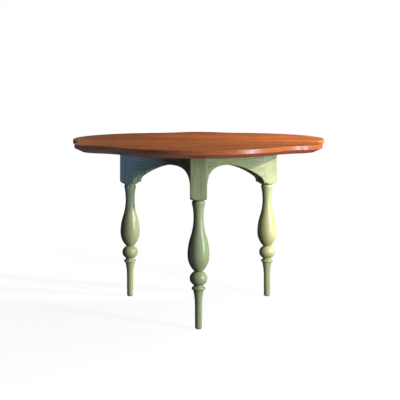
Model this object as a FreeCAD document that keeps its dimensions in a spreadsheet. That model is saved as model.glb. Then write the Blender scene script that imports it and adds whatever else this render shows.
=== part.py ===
import FreeCAD, Part
import math
import os
import Sketcher

# Dining table with three turned legs, three concave arched aprons and a lobed top.
# Millimetres, +Z up. The origin is on the floor, on the axis that the three legs share.
# The front leg stands on the -Y side, and the grain of the top runs along X.

doc = FreeCAD.newDocument("DiningTable")
sheet = doc.addObject("Spreadsheet::Sheet", "Sizes")

# Driving dimensions

DRIVING_SIZES = {
    # whole table
    "leg_circle_radius": 378,
    # top: crests of the lobes, measured from the table's axis, and the arcs of the outline
    "top_thickness": 35,
    "leg_lobe_reach": 608,
    "leg_lobe_radius": 423,
    "gap_lobe_reach": 596,
    "gap_lobe_radius": 156,
    "hollow_radius": 205,
    "edge_band_height": 18,
    "bevel_width": 35,
    "top_arris_width": 2,
    # dowels in the joints of the top boards
    "dowel_radius": 5,
    "dowel_length": 60,
    "dowel_spacing": 160,
    "dowel_end_margin": 45,
    "dowel_chamfer": 1,
    "dowel_clearance": 0.2,
    # square post of a leg
    "post_side": 71.5,
    "post_height": 190,
    "post_arris_radius": 4,
    "shoulder_height": 18,
    "shoulder_curve_radius": 40,
    "groove_radius": 24.5,
    "turning_overlap": 8,
    # turned part of a leg: its widest and narrowest places, each placed above the one below it
    "foot_radius": 14.6,
    "ankle_height": 98,
    "ankle_radius": 15.2,
    "ring_above_ankle": 70.5,
    "ring_radius": 28.8,
    "ring_half_thickness": 6,
    "lower_waist_radius": 20.3,
    "ball_above_ring": 41.5,
    "ball_radius": 37,
    "ball_curve_radius": 29.5,
    "upper_waist_radius": 16.8,
    "bulb_above_ball": 97,
    "bulb_radius": 46,
    "bulb_upper_curve_radius": 244,
    "bulb_lower_curve_radius": 95,
    "neck_above_bulb": 155,
    "neck_radius": 21.2,
    "lip_above_neck": 61,
    "lip_radius": 28.3,
    "lip_curve_radius": 9,
    "post_above_lip": 12,
    "foot_round_radius": 3,
    # glides under the feet
    "glide_radius": 12,
    "glide_thickness": 2.5,
    "glide_round_radius": 0.8,
    "nail_radius": 1.2,
    "nail_length": 16,
    "nail_head_radius": 4,
    "nail_head_height": 1.2,
    "glide_recess_depth": 1.6,
    "glide_clearance": 0.2,
    # aprons
    "apron_thickness": 28,
    "apron_height": 180,
    "arch_rise": 104,
    "arch_foot_width": 5,
    "arch_haunch_radius": 32,
    # tenons on the aprons and mortises in the posts
    "tenon_thickness": 10,
    "tenon_length": 32,
    "tenon_foot_inset": 21,
    "tenon_top_inset": 29,
    "tenon_root": 4,
    "mortise_clearance": 0.2,
    "mortise_end_clearance": 2,
    # corner blocks behind the posts
    "block_length": 60,
    "block_foot_inset": 47,
    "block_top_inset": 13,
    "glue_gap": 0.25,
    "block_screw_radius": 2.5,
    "block_screw_length": 95,
    "block_screw_head_radius": 5,
    "screw_dome_share": 0.7,
    "block_screw_inset": 30,
    # figure-eight fasteners between the aprons and the top
    "fastener_radius": 9.5,
    "fastener_thickness": 3,
    "fastener_pitch": 20,
    "fastener_waist_width": 9,
    "fastener_clearance": 0.4,
    "fastener_seat_clearance": 0.2,
    "fastener_screw_radius": 2.2,
    "fastener_screw_head_radius": 4.4,
    "fastener_screw_head_height": 2.2,
    "apron_screw_length": 28,
    "top_screw_length": 22,
    # details shared by all screws
    "screw_tip_length": 4,
    "screw_slot_width": 1.1,
    "screw_slot_depth": 1,
    "screw_clearance": 0.2,
    "hole_end_clearance": 2,
    "cut_overrun": 10,
}

BOARD_COUNT = 8
LOBE_PAIRS = 3
LEG_TURNS = {"front": 0, "right": 120, "left": 240}
APRON_TURNS = {"front_left": 300, "front_right": 60, "back": 180}
FASTENER_TURNS = (-20, 0, 20)

for row, (alias, value) in enumerate(DRIVING_SIZES.items(), start=1):
    sheet.set(f"A{row}", alias)
    sheet.set(f"B{row}", str(value))
    sheet.setAlias(f"B{row}", alias)
doc.recompute()


class Formula:
    """A length worked out from the sheet: its value, and the same sum as expression text."""

    def __init__(self, value, text):
        self.value = value
        self.text = text

    def joined(self, sign, other, value):
        return Formula(value, f"({self.text} {sign} {as_formula(other).text})")

    def __add__(self, other):
        return self.joined("+", other, self.value + as_formula(other).value)

    def __sub__(self, other):
        return self.joined("-", other, self.value - as_formula(other).value)

    def __mul__(self, other):
        return self.joined("*", other, self.value * as_formula(other).value)

    def __truediv__(self, other):
        return self.joined("/", other, self.value / as_formula(other).value)

    def __neg__(self):
        return Formula(-self.value, f"(-1 * {self.text})")


def as_formula(number):
    return number if isinstance(number, Formula) else Formula(number, str(number))


def root(number):
    return Formula(math.sqrt(number.value), f"sqrt({number.text})")


def turned(radius, degrees):
    """The point at a distance from the origin, in the direction of an angle from +X."""
    angle = math.radians(degrees)
    across = Formula(radius.value * math.cos(angle), f"({radius.text} * cos({degrees} deg))")
    along = Formula(radius.value * math.sin(angle), f"({radius.text} * sin({degrees} deg))")
    return across, along


def side_of(hypotenuse, side):
    """The other short side of a right triangle."""
    return root(hypotenuse * hypotenuse - side * side)


class Sizes:
    """Each cell of the sheet by its alias."""

    def __init__(self, aliases):
        for name in aliases:
            setattr(self, name, Formula(float(sheet.get(name)), f"Sizes.{name}"))


size = Sizes(DRIVING_SIZES)
ZERO = as_formula(0)

# Places that several sub-parts share

ring_height = size.ankle_height + size.ring_above_ankle
ball_height = ring_height + size.ball_above_ring
bulb_height = ball_height + size.bulb_above_ball
neck_height = bulb_height + size.neck_above_bulb
lip_height = neck_height + size.lip_above_neck
post_foot = lip_height + size.post_above_lip
top_underside = post_foot + size.post_height
table_height = top_underside + size.top_thickness
TOUCH = table_height.value * 1e-7
post_half = size.post_side / 2
post_face = size.leg_circle_radius - post_half
arc_centre_reach = post_face * 2
arc_centre_side = post_face * math.sqrt(3)
apron_outer_radius = arc_centre_side - post_half
apron_inner_radius = apron_outer_radius + size.apron_thickness
tenon_middle = post_half - size.apron_thickness / 2
apron_foot = top_underside - size.apron_height
tenon_foot = apron_foot + size.tenon_foot_inset
tenon_height = size.apron_height - size.tenon_foot_inset - size.tenon_top_inset
block_foot = apron_foot + size.block_foot_inset
block_height = size.apron_height - size.block_foot_inset - size.block_top_inset
block_inner_end = post_face - size.block_length
apron_disc_radius = apron_outer_radius + size.apron_thickness / 2
top_disc_radius = apron_disc_radius + size.fastener_pitch
board_width = (size.leg_lobe_reach + size.gap_lobe_reach) / BOARD_COUNT
block_screw_heights = (
    block_foot + size.block_screw_inset,
    block_foot + block_height - size.block_screw_inset,
)


# Helpers for features, sketches and their bindings


def bind(target, **lengths):
    for name, length in lengths.items():
        target.setExpression(name, length.text)


def bind_place(target, path, x=None, y=None, z=None):
    for letter, length in (("x", x), ("y", y), ("z", z)):
        if length is not None:
            target.setExpression(f"{path}.Base.{letter}", length.text)


def turn_about_z(degrees):
    return FreeCAD.Rotation(FreeCAD.Vector(0, 0, 1), degrees)


def new_body(label, turn=0):
    body = doc.addObject("PartDesign::Body", label)
    body.Label = label
    body.Placement.Rotation = turn_about_z(turn)
    return body


def new_sketch(body, name, role, turn=0, x=None, y=None, z=None):
    """A sketch on one of the body's origin planes, shifted and turned within that plane's frame."""
    plane = next(part for part in body.Origin.OriginFeatures if part.Role == role)
    sketch = body.newObject("Sketcher::SketchObject", name)
    sketch.AttachmentSupport = [(plane, "")]
    sketch.MapMode = "FlatFace"
    sketch.AttachmentOffset.Rotation = turn_about_z(turn)
    bind_place(sketch, "AttachmentOffset", x, y, z)
    return sketch


def fix_number(sketch, kind, where, length):
    row = sketch.addConstraint(Sketcher.Constraint(kind, *where, length.value))
    sketch.setExpression(f"Constraints[{row}]", length.text)


def fix_point(sketch, side, end, point):
    """Hold one end of a side at its coordinates, or on an axis where a coordinate is zero."""
    for kind, axis, length in (("DistanceX", -2, point[0]), ("DistanceY", -1, point[1])):
        if length is ZERO:
            sketch.addConstraint(Sketcher.Constraint("PointOnObject", side, end, axis))
        else:
            fix_number(sketch, kind, (side, end), length)


def arc_between(start, end, radius, left):
    """An arc with its centre on the left or right of the way from start to end."""
    run = FreeCAD.Vector(end[0].value - start[0].value, end[1].value - start[1].value, 0)
    middle = FreeCAD.Vector(start[0].value, start[1].value, 0) + run * 0.5
    aside = FreeCAD.Vector(-run.y, run.x, 0).normalize() * (1 if left else -1)
    depth = math.sqrt(max(radius.value**2 - run.Length**2 / 4, 0))
    centre = middle + aside * depth
    angles = [math.atan2(p[1].value - centre.y, p[0].value - centre.x) for p in (start, end)]
    if not left:
        angles.reverse()
    return Part.ArcOfCircle(Part.Circle(centre, FreeCAD.Vector(0, 0, 1), radius.value), *angles)


def draw_loop(sketch, points, arcs=None):
    """A closed loop through the points; arcs gives (radius, centre on the left) per side."""
    arcs = arcs or {}
    ends = []
    for number, start in enumerate(points):
        end = points[(number + 1) % len(points)]
        if number in arcs:
            radius, left = arcs[number]
            side = sketch.addGeometry(arc_between(start, end, radius, left), False)
            fix_number(sketch, "Radius", (side,), radius)
            ends.append((side, 1 if left else 2, 2 if left else 1))
        else:
            corners = [FreeCAD.Vector(p[0].value, p[1].value, 0) for p in (start, end)]
            side = sketch.addGeometry(Part.LineSegment(*corners), False)
            ends.append((side, 1, 2))
    for number, (side, start_end, _) in enumerate(ends):
        previous_side, _, previous_end = ends[number - 1]
        sketch.addConstraint(
            Sketcher.Constraint("Coincident", previous_side, previous_end, side, start_end)
        )
        fix_point(sketch, side, start_end, points[number])


def draw_box(sketch, left, right, low, high):
    draw_loop(sketch, [(left, low), (right, low), (right, high), (left, high)])


def draw_circle(sketch, x, y, radius):
    centre = FreeCAD.Vector(x.value, y.value, 0)
    circle = Part.Circle(centre, FreeCAD.Vector(0, 0, 1), radius.value)
    ring = sketch.addGeometry(circle, False)
    fix_number(sketch, "Radius", (ring,), radius)
    fix_point(sketch, ring, 3, (x, y))


def add_feature(body, kind, name, sketch, length=None, reverse=False, angle=None):
    feature = body.newObject(f"PartDesign::{kind}", name)
    feature.Profile = sketch
    if length is not None:
        bind(feature, Length=length)
    if angle is not None:
        feature.ReferenceAxis = (sketch, ["V_Axis"])
        feature.Angle = angle
    if reverse:
        feature.Reversed = True
    doc.recompute()
    return feature


def cut_feature(body, kind, name, sketch, **settings):
    """A cut that must take material away."""
    before = body.Shape.Volume
    feature = add_feature(body, kind, name, sketch, **settings)
    if not body.Shape.Volume < before:
        raise RuntimeError(f"{body.Label}: {name} removes nothing")
    return feature


def edges_where(shape, test):
    return [f"Edge{number}" for number, edge in enumerate(shape.Edges, start=1) if test(edge)]


def flat_at(height):
    """Is an edge level, at this height?"""

    def test(edge):
        box = edge.BoundBox
        return abs(box.ZMin - height.value) < TOUCH and abs(box.ZMax - height.value) < TOUCH

    return test


def upright(edge):
    box = edge.BoundBox
    return box.XLength < TOUCH and box.YLength < TOUCH


# Legs


def turned_profile():
    """Half outline of the turned part, from the foot up, as points and arcs."""
    foot = size.glide_thickness
    flare_rise = ring_height - size.ring_half_thickness - size.ankle_height
    ring_root = size.ring_radius - size.ring_half_thickness
    flare_step = ring_root - size.ankle_radius
    flare_radius = (flare_step * flare_step + flare_rise * flare_rise) / (flare_step * 2)
    ball_core = size.ball_radius - size.ball_curve_radius
    ball_drop = side_of(size.ball_curve_radius, size.lower_waist_radius - ball_core)
    ball_rise = side_of(size.ball_curve_radius, size.upper_waist_radius - ball_core)
    vase_core = size.bulb_radius - size.bulb_lower_curve_radius
    vase_drop = side_of(size.bulb_lower_curve_radius, size.upper_waist_radius - vase_core)
    # the bulb's upper arc and the neck's hollow arc touch without a corner
    step = size.bulb_radius - size.neck_radius
    rise = neck_height - bulb_height
    both_radii = (step * step + rise * rise) / (step * 2)
    neck_curve_radius = both_radii - size.bulb_upper_curve_radius
    share_of_bulb = size.bulb_upper_curve_radius / both_radii
    meeting_radius = (
        size.bulb_radius
        - size.bulb_upper_curve_radius
        + (both_radii - step) * share_of_bulb
    )
    meeting_height = bulb_height + rise * share_of_bulb
    # above the neck the hollow widens to the lip, which rounds over to the groove
    lip_step = size.lip_radius - size.neck_radius
    lip_rise = lip_height - neck_height
    lip_hollow_radius = (lip_step * lip_step + lip_rise * lip_rise) / (lip_step * 2)
    lip_top = lip_height + size.lip_curve_radius
    points = [
        (ZERO, foot),
        (size.foot_radius - size.foot_round_radius, foot),
        (size.foot_radius, foot + size.foot_round_radius),
        (size.ankle_radius, size.ankle_height),
        (ring_root, ring_height - size.ring_half_thickness),
        (size.ring_radius, ring_height),
        (ring_root, ring_height + size.ring_half_thickness),
        (size.lower_waist_radius, ring_height + size.ring_half_thickness),
        (size.lower_waist_radius, ball_height - ball_drop),
        (size.ball_radius, ball_height),
        (size.upper_waist_radius, ball_height + ball_rise),
        (size.upper_waist_radius, bulb_height - vase_drop),
        (size.bulb_radius, bulb_height),
        (meeting_radius, meeting_height),
        (size.neck_radius, neck_height),
        (size.lip_radius, lip_height),
        (size.groove_radius, lip_top),
        (size.groove_radius, post_foot + size.turning_overlap),
        (ZERO, post_foot + size.turning_overlap),
    ]
    arcs = {
        1: (size.foot_round_radius, True),
        3: (flare_radius, False),
        4: (size.ring_half_thickness, True),
        5: (size.ring_half_thickness, True),
        8: (size.ball_curve_radius, True),
        9: (size.ball_curve_radius, True),
        11: (size.bulb_lower_curve_radius, True),
        12: (size.bulb_upper_curve_radius, True),
        13: (neck_curve_radius, False),
        14: (lip_hollow_radius, False),
        15: (size.lip_curve_radius, True),
    }
    return points, arcs


def make_leg(name, turn):
    body = new_body(f"leg_{name}", turn)
    place = turned(size.leg_circle_radius, turn - 90)
    bind_place(body, "Placement", x=place[0], y=place[1])

    square = new_sketch(body, f"post_square_{name}", "XY_Plane", z=post_foot)
    draw_box(square, -post_half, post_half, -post_half, post_half)
    post = add_feature(body, "Pad", f"post_{name}", square, length=size.post_height)

    # the two arrises that face outwards are eased
    arrises = body.newObject("PartDesign::Fillet", f"post_arrises_{name}")
    outer = edges_where(post.Shape, lambda edge: upright(edge) and edge.BoundBox.YMax < 0)
    arrises.Base = (post, outer)
    bind(arrises, Radius=size.post_arris_radius)
    doc.recompute()

    # turned shoulder under the square
    corner_radius = post_half * math.sqrt(2)
    shoulder = new_sketch(body, f"shoulder_curve_{name}", "XZ_Plane")
    outside = corner_radius + size.cut_overrun
    shoulder_top = post_foot + size.shoulder_height
    draw_loop(
        shoulder,
        [
            (size.groove_radius, post_foot - size.cut_overrun),
            (outside, post_foot - size.cut_overrun),
            (outside, shoulder_top),
            (corner_radius, shoulder_top),
            (size.groove_radius, post_foot),
        ],
        {3: (size.shoulder_curve_radius, False)},
    )
    cut_feature(body, "Groove", f"shoulder_{name}", shoulder, angle=360)

    outline = new_sketch(body, f"turned_outline_{name}", "XZ_Plane")
    draw_loop(outline, *turned_profile())
    add_feature(body, "Revolution", f"turning_{name}", outline, angle=360)

    # mortises for the two aprons, cut from the face that looks at the table's axis
    mortises = new_sketch(body, f"mortise_outlines_{name}", "XZ_Plane", z=-post_half)
    half = size.tenon_thickness / 2 + size.mortise_clearance
    low = tenon_foot - size.mortise_clearance
    high = tenon_foot + tenon_height + size.mortise_clearance
    for middle in (-tenon_middle, tenon_middle):
        draw_box(mortises, middle - half, middle + half, low, high)
    depth = size.tenon_length + size.mortise_end_clearance
    cut_feature(body, "Pocket", f"mortises_{name}", mortises, length=depth, reverse=True)

    # pilot holes for the screws of the corner block
    pilots = new_sketch(body, f"pilot_circles_{name}", "XZ_Plane", z=-post_half)
    for height in block_screw_heights:
        draw_circle(pilots, ZERO, height, size.block_screw_radius + size.screw_clearance)
    depth = size.block_screw_length - size.block_length + size.hole_end_clearance
    cut_feature(body, "Pocket", f"pilots_{name}", pilots, length=depth, reverse=True)

    # hole for the nail of the glide
    nail = new_sketch(body, f"nail_circle_{name}", "XY_Plane", z=size.glide_thickness)
    draw_circle(nail, ZERO, ZERO, size.nail_radius + size.screw_clearance)
    depth = size.nail_length - size.glide_thickness + size.hole_end_clearance
    cut_feature(body, "Pocket", f"nail_hole_{name}", nail, length=depth, reverse=True)
    return body


# Aprons


def draw_arch(sketch, half_span):
    """Three-centred arch over a level springing line: two small haunches and a flat crown."""
    haunch = size.arch_haunch_radius
    rise = size.arch_rise
    crown = (half_span * half_span + rise * rise - half_span * haunch * 2) / (
        (rise - haunch) * 2
    )
    # the arcs meet on the line through their centres
    share_of_crown = crown / (crown - haunch)
    meeting_x = (half_span - haunch) * share_of_crown
    crown_centre = apron_foot + rise - crown
    meeting_height = crown_centre + (crown - rise) * share_of_crown
    low = apron_foot - size.cut_overrun
    draw_loop(
        sketch,
        [
            (-half_span, low),
            (half_span, low),
            (half_span, apron_foot),
            (meeting_x, meeting_height),
            (-meeting_x, meeting_height),
            (-half_span, apron_foot),
        ],
        {2: (haunch, True), 3: (crown, True), 4: (haunch, True)},
    )


def make_apron(name, turn):
    """An apron in its own frame: its middle on the -Y side, its arcs about a point further out."""
    body = new_body(f"apron_{name}", turn)
    half_chord = apron_outer_radius / 2
    chord_reach = apron_outer_radius * (math.sqrt(3) / 2)

    plan = new_sketch(body, f"plan_{name}", "XY_Plane", y=-arc_centre_reach, z=apron_foot)
    corners = [turned(apron_outer_radius, 60), turned(apron_inner_radius, 60)]
    corners += [turned(apron_inner_radius, 120), turned(apron_outer_radius, 120)]
    draw_loop(plan, corners, {1: (apron_inner_radius, True), 3: (apron_outer_radius, False)})
    add_feature(body, "Pad", f"curved_board_{name}", plan, length=size.apron_height)

    # a tenon on each end, square to the post's face
    low = apron_disc_radius - size.tenon_thickness / 2
    high = apron_disc_radius + size.tenon_thickness / 2
    for end, sign in (("right", 1), ("left", -1)):
        tenon = new_sketch(
            body,
            f"tenon_outline_{name}_{end}",
            "XY_Plane",
            turn=-30 * sign,
            y=-arc_centre_reach,
            z=tenon_foot,
        )
        across = sorted(
            (-size.tenon_root * sign, size.tenon_length * sign), key=lambda x: x.value
        )
        draw_box(tenon, *across, low, high)
        add_feature(body, "Pad", f"tenon_{name}_{end}", tenon, length=tenon_height)

    # the arch narrows towards the centre of the apron's arcs, so its underside is square to the face
    sections = []
    for side, reach in (
        ("near", chord_reach - size.cut_overrun),
        ("far", apron_inner_radius + size.cut_overrun),
    ):
        section = new_sketch(
            body, f"arch_{side}_{name}", "XZ_Plane", z=arc_centre_reach - reach
        )
        draw_arch(section, (half_chord - size.arch_foot_width) * reach / chord_reach)
        sections.append(section)
    before = body.Shape.Volume
    arch = body.newObject("PartDesign::SubtractiveLoft", f"arch_{name}")
    arch.Profile = sections[0]
    arch.Sections = [sections[1]]
    arch.Ruled = True
    doc.recompute()
    if not body.Shape.Volume < before:
        raise RuntimeError(f"{body.Label}: the arch removes nothing")

    # seats and pilot holes for the figure-eight fasteners
    seat_radius = size.fastener_radius + size.fastener_clearance
    for number, swing in enumerate(FASTENER_TURNS, start=1):
        seat = new_sketch(
            body,
            f"seat_outline_{name}_{number}",
            "XY_Plane",
            turn=-swing,
            y=-arc_centre_reach,
            z=top_underside,
        )
        draw_loop(
            seat,
            [
                (-seat_radius, apron_disc_radius),
                (ZERO, apron_disc_radius - seat_radius),
                (seat_radius, apron_disc_radius),
                (seat_radius, top_disc_radius),
                (-seat_radius, top_disc_radius),
            ],
            {0: (seat_radius, True), 1: (seat_radius, True)},
        )
        depth = size.fastener_thickness + size.fastener_seat_clearance
        cut_feature(body, "Pocket", f"seat_{name}_{number}", seat, length=depth)
        pilot = new_sketch(
            body,
            f"pilot_circle_{name}_{number}",
            "XY_Plane",
            turn=-swing,
            y=-arc_centre_reach,
            z=top_underside,
        )
        pilot_radius = size.fastener_screw_radius + size.screw_clearance
        draw_circle(pilot, ZERO, apron_disc_radius, pilot_radius)
        depth = size.apron_screw_length + size.hole_end_clearance
        cut_feature(body, "Pocket", f"pilot_{name}_{number}", pilot, length=depth)
    return body


# Corner blocks


def make_corner_block(name, turn):
    """A wedge that fills the space between two aprons, behind the front post before turning."""
    body = new_body(f"corner_block_{name}", turn)
    face_radius = apron_inner_radius + size.glue_gap
    outline = new_sketch(body, f"block_outline_{name}", "XY_Plane", z=block_foot)
    half_at_post = arc_centre_side - face_radius
    half_at_end = arc_centre_side - side_of(face_radius, size.block_length)
    draw_loop(
        outline,
        [
            (-half_at_post, -post_face),
            (half_at_post, -post_face),
            (half_at_end, -block_inner_end),
            (-half_at_end, -block_inner_end),
        ],
        {1: (face_radius, False), 3: (face_radius, False)},
    )
    add_feature(body, "Pad", f"block_{name}", outline, length=block_height)
    holes = new_sketch(body, f"block_circles_{name}", "XZ_Plane", z=block_inner_end)
    for height in block_screw_heights:
        draw_circle(holes, ZERO, height, size.block_screw_radius + size.screw_clearance)
    cut_feature(body, "Pocket", f"block_holes_{name}", holes, length=size.block_length, reverse=True)
    return body


# Masters of the fasteners, each made once, with its head's seat at the origin


def make_revolved_master(label, points, arcs=None):
    body = new_body(label)
    outline = new_sketch(body, f"{label}_outline", "XZ_Plane")
    draw_loop(outline, points, arcs)
    add_feature(body, "Revolution", f"{label}_turning", outline, angle=360)
    return body


def add_slot(body, head_radius, head_top):
    slot = new_sketch(body, f"{body.Label}_slot_outline", "XY_Plane", z=head_top)
    half = size.screw_slot_width / 2
    draw_box(slot, -head_radius, head_radius, -half, half)
    cut_feature(body, "Pocket", f"{body.Label}_slot", slot, length=size.screw_slot_depth)


def make_flat_screw(label, length):
    """A countersunk screw: the head's flat face is at z = 0, and the tip points down."""
    tip = -length
    head_radius = size.fastener_screw_head_radius
    body = make_revolved_master(
        label,
        [
            (ZERO, tip),
            (size.fastener_screw_radius, tip + size.screw_tip_length),
            (size.fastener_screw_radius, -size.fastener_screw_head_height),
            (head_radius, ZERO),
            (ZERO, ZERO),
        ],
    )
    add_slot(body, head_radius, ZERO)
    return body


def make_round_screw(label):
    """A round-headed screw: the flat underside of the head is at z = 0, and the tip points down."""
    head = size.block_screw_head_radius
    dome_height = head * size.screw_dome_share
    dome_radius = (head * head + dome_height * dome_height) / (dome_height * 2)
    body = make_revolved_master(
        label,
        [
            (ZERO, -size.block_screw_length),
            (size.block_screw_radius, -size.block_screw_length + size.screw_tip_length),
            (size.block_screw_radius, ZERO),
            (head, ZERO),
            (ZERO, dome_height),
        ],
        {3: (dome_radius, True)},
    )
    add_slot(body, head, dome_height)
    return body


def cut_screw_hole(body, name, sign, seat_height, far_height, y=None):
    """A clearance hole with a countersink that opens up (sign 1) or down (sign -1)."""
    outline = new_sketch(body, f"{name}_outline", "XZ_Plane", z=None if y is None else -y)
    hole = size.fastener_screw_radius + size.screw_clearance
    mouth = size.fastener_screw_head_radius + size.screw_clearance
    points = [
        (ZERO, far_height),
        (hole, far_height),
        (hole, seat_height - size.fastener_screw_head_height * sign),
        (mouth, seat_height),
        (ZERO, seat_height),
    ]
    draw_loop(outline, points)
    cut_feature(body, "Groove", name, outline, angle=360)


def make_fastener_plate(label):
    """A figure-eight plate: one disc at the origin, the other along +Y, top face at z = 0."""
    body = new_body(label)
    half_waist = size.fastener_waist_width / 2
    reach = side_of(size.fastener_radius, half_waist)
    far = size.fastener_pitch
    outline = new_sketch(body, f"{label}_outline", "XY_Plane", z=-size.fastener_thickness)
    points = [
        (ZERO, -size.fastener_radius),
        (half_waist, reach),
        (half_waist, far - reach),
        (ZERO, far + size.fastener_radius),
        (-half_waist, far - reach),
        (-half_waist, reach),
    ]
    discs = {side: (size.fastener_radius, True) for side in (0, 2, 3, 5)}
    draw_loop(outline, points, discs)
    add_feature(body, "Pad", f"{label}_pad", outline, length=size.fastener_thickness)
    below = -size.fastener_thickness
    cut_screw_hole(body, f"{label}_apron_hole", 1, ZERO, below)
    cut_screw_hole(body, f"{label}_top_hole", -1, below, ZERO, y=far)
    return body


def make_nail(label):
    """A glide's nail: the head's underside is at z = 0, and the tip points up."""
    return make_revolved_master(
        label,
        [
            (ZERO, -size.nail_head_height),
            (size.nail_head_radius, -size.nail_head_height),
            (size.nail_head_radius, ZERO),
            (size.nail_radius, ZERO),
            (size.nail_radius, size.nail_length - size.screw_tip_length),
            (ZERO, size.nail_length),
        ],
    )


def make_dowel(label):
    """A dowel with chamfered ends: its middle is at the origin, and its axis is upright."""
    half = size.dowel_length / 2
    chamfer = size.dowel_chamfer
    return make_revolved_master(
        label,
        [
            (ZERO, -half),
            (size.dowel_radius - chamfer, -half),
            (size.dowel_radius, chamfer - half),
            (size.dowel_radius, half - chamfer),
            (size.dowel_radius - chamfer, half),
            (ZERO, half),
        ],
    )


def make_cylinder(label, radius, height):
    """A tool for a hole, with its middle at the origin."""
    cylinder = doc.addObject("Part::Cylinder", label)
    bind(cylinder, Radius=radius, Height=height)
    bind_place(cylinder, "Placement", z=height / -2)
    centred = doc.addObject("Part::Compound", f"{label}_centred")
    centred.Links = [cylinder]
    return centred


# Copies of a master, collected into one sub-part or one cutting tool


def copy_of(master, label, place, turn=0, tilt=0):
    """A copy tilted about its own X axis, turned about Z, with its origin at a place."""
    link = doc.addObject("App::Link", label)
    link.LinkedObject = master
    tilted = FreeCAD.Rotation(FreeCAD.Vector(1, 0, 0), tilt)
    link.Placement.Rotation = turn_about_z(turn) * tilted
    bind_place(link, "Placement", *place)
    return link


def group(label, copies):
    compound = doc.addObject("Part::Compound", label)
    compound.Label = label
    compound.Links = copies
    return compound


def fastener_frames():
    """For each figure-eight fastener: its number, its turn, and where its two discs are."""
    number = 0
    for turn in APRON_TURNS.values():
        centre = turned(arc_centre_reach, turn - 90)
        for swing in FASTENER_TURNS:
            number += 1
            discs = []
            for radius in (apron_disc_radius, top_disc_radius):
                reach = turned(radius, turn + 90 - swing)
                discs.append((centre[0] + reach[0], centre[1] + reach[1]))
            yield number, turn - swing, discs


# Top


def lobed_outline(sketch):
    """Three broad lobes over the legs, three narrow lobes between, and hollows that join them."""
    lobes = []
    for number in range(LOBE_PAIRS):
        leg_direction = number * 360 / LOBE_PAIRS - 90
        gap_direction = leg_direction + 180 / LOBE_PAIRS
        lobes.append((leg_direction, size.leg_lobe_reach, size.leg_lobe_radius))
        lobes.append((gap_direction, size.gap_lobe_reach, size.gap_lobe_radius))
    circles = []
    for direction, reach, radius in lobes:
        centre = turned(reach - radius, direction)
        circles.append((centre, FreeCAD.Vector(centre[0].value, centre[1].value, 0), radius))
    hollows = []
    for number, (_, first, first_radius) in enumerate(circles):
        _, second, second_radius = circles[(number + 1) % len(circles)]
        hollow = size.hollow_radius.value
        to_first = first_radius.value + hollow
        to_second = second_radius.value + hollow
        gap = second - first
        along = (to_first**2 - to_second**2 + gap.Length**2) / (2 * gap.Length)
        outward = FreeCAD.Vector(gap.y, -gap.x, 0).normalize()
        ahead = FreeCAD.Vector(gap).normalize()
        hollows.append(first + ahead * along + outward * math.sqrt(to_first**2 - along**2))
    sides = []
    for number, (centre, middle, radius) in enumerate(circles):
        arms = [hollows[number - 1] - middle, hollows[number] - middle]
        angles = [math.atan2(arm.y, arm.x) for arm in arms]
        circle = Part.Circle(middle, FreeCAD.Vector(0, 0, 1), radius.value)
        lobe = sketch.addGeometry(Part.ArcOfCircle(circle, *angles), False)
        fix_number(sketch, "Radius", (lobe,), radius)
        fix_point(sketch, lobe, 3, centre)
        next_middle = circles[(number + 1) % len(circles)][1]
        arms = [next_middle - hollows[number], middle - hollows[number]]
        angles = [math.atan2(arm.y, arm.x) for arm in arms]
        circle = Part.Circle(hollows[number], FreeCAD.Vector(0, 0, 1), size.hollow_radius.value)
        hollow = sketch.addGeometry(Part.ArcOfCircle(circle, *angles), False)
        fix_number(sketch, "Radius", (hollow,), size.hollow_radius)
        sides += [(lobe, 1, 2), (hollow, 2, 1)]
    for number, (side, start_end, _) in enumerate(sides):
        previous_side, _, previous_end = sides[number - 1]
        sketch.addConstraint(
            Sketcher.Constraint("Tangent", previous_side, previous_end, side, start_end)
        )


def make_top_blank():
    """The glued-up top as one piece, before it is divided into its boards."""
    body = new_body("top_blank")
    outline = new_sketch(body, "top_outline", "XY_Plane", z=top_underside)
    lobed_outline(outline)
    slab = add_feature(body, "Pad", "slab", outline, length=size.top_thickness)
    bevel = body.newObject("PartDesign::Chamfer", "under_bevel")
    bevel.Base = (slab, edges_where(slab.Shape, flat_at(top_underside)))
    bevel.ChamferType = "Two distances"
    bind(bevel, Size=size.top_thickness - size.edge_band_height, Size2=size.bevel_width)
    doc.recompute()
    arris = body.newObject("PartDesign::Chamfer", "top_arris")
    arris.Base = (bevel, edges_where(bevel.Shape, flat_at(table_height)))
    bind(arris, Size=size.top_arris_width)
    doc.recompute()
    return body


def dowel_places(blank):
    """Dowels at even steps along each joint, as far out as the lobed outline leaves room."""
    steps = int(size.leg_lobe_reach.value // size.dowel_spacing.value)
    middle = table_height - size.top_thickness / 2
    for joint in range(1, BOARD_COUNT):
        y = board_width * joint - size.leg_lobe_reach
        for step in range(-steps, steps + 1):
            x = size.dowel_spacing * step
            far_x = abs(x.value) + size.dowel_end_margin.value
            near_floor = (middle - size.dowel_radius).value
            reach = size.dowel_length.value / 2
            ends = (FreeCAD.Vector(far_x, y.value + way * reach, near_floor) for way in (-1, 1))
            if all(blank.Shape.isInside(end, TOUCH, True) for end in ends):
                yield x, y, middle


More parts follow.
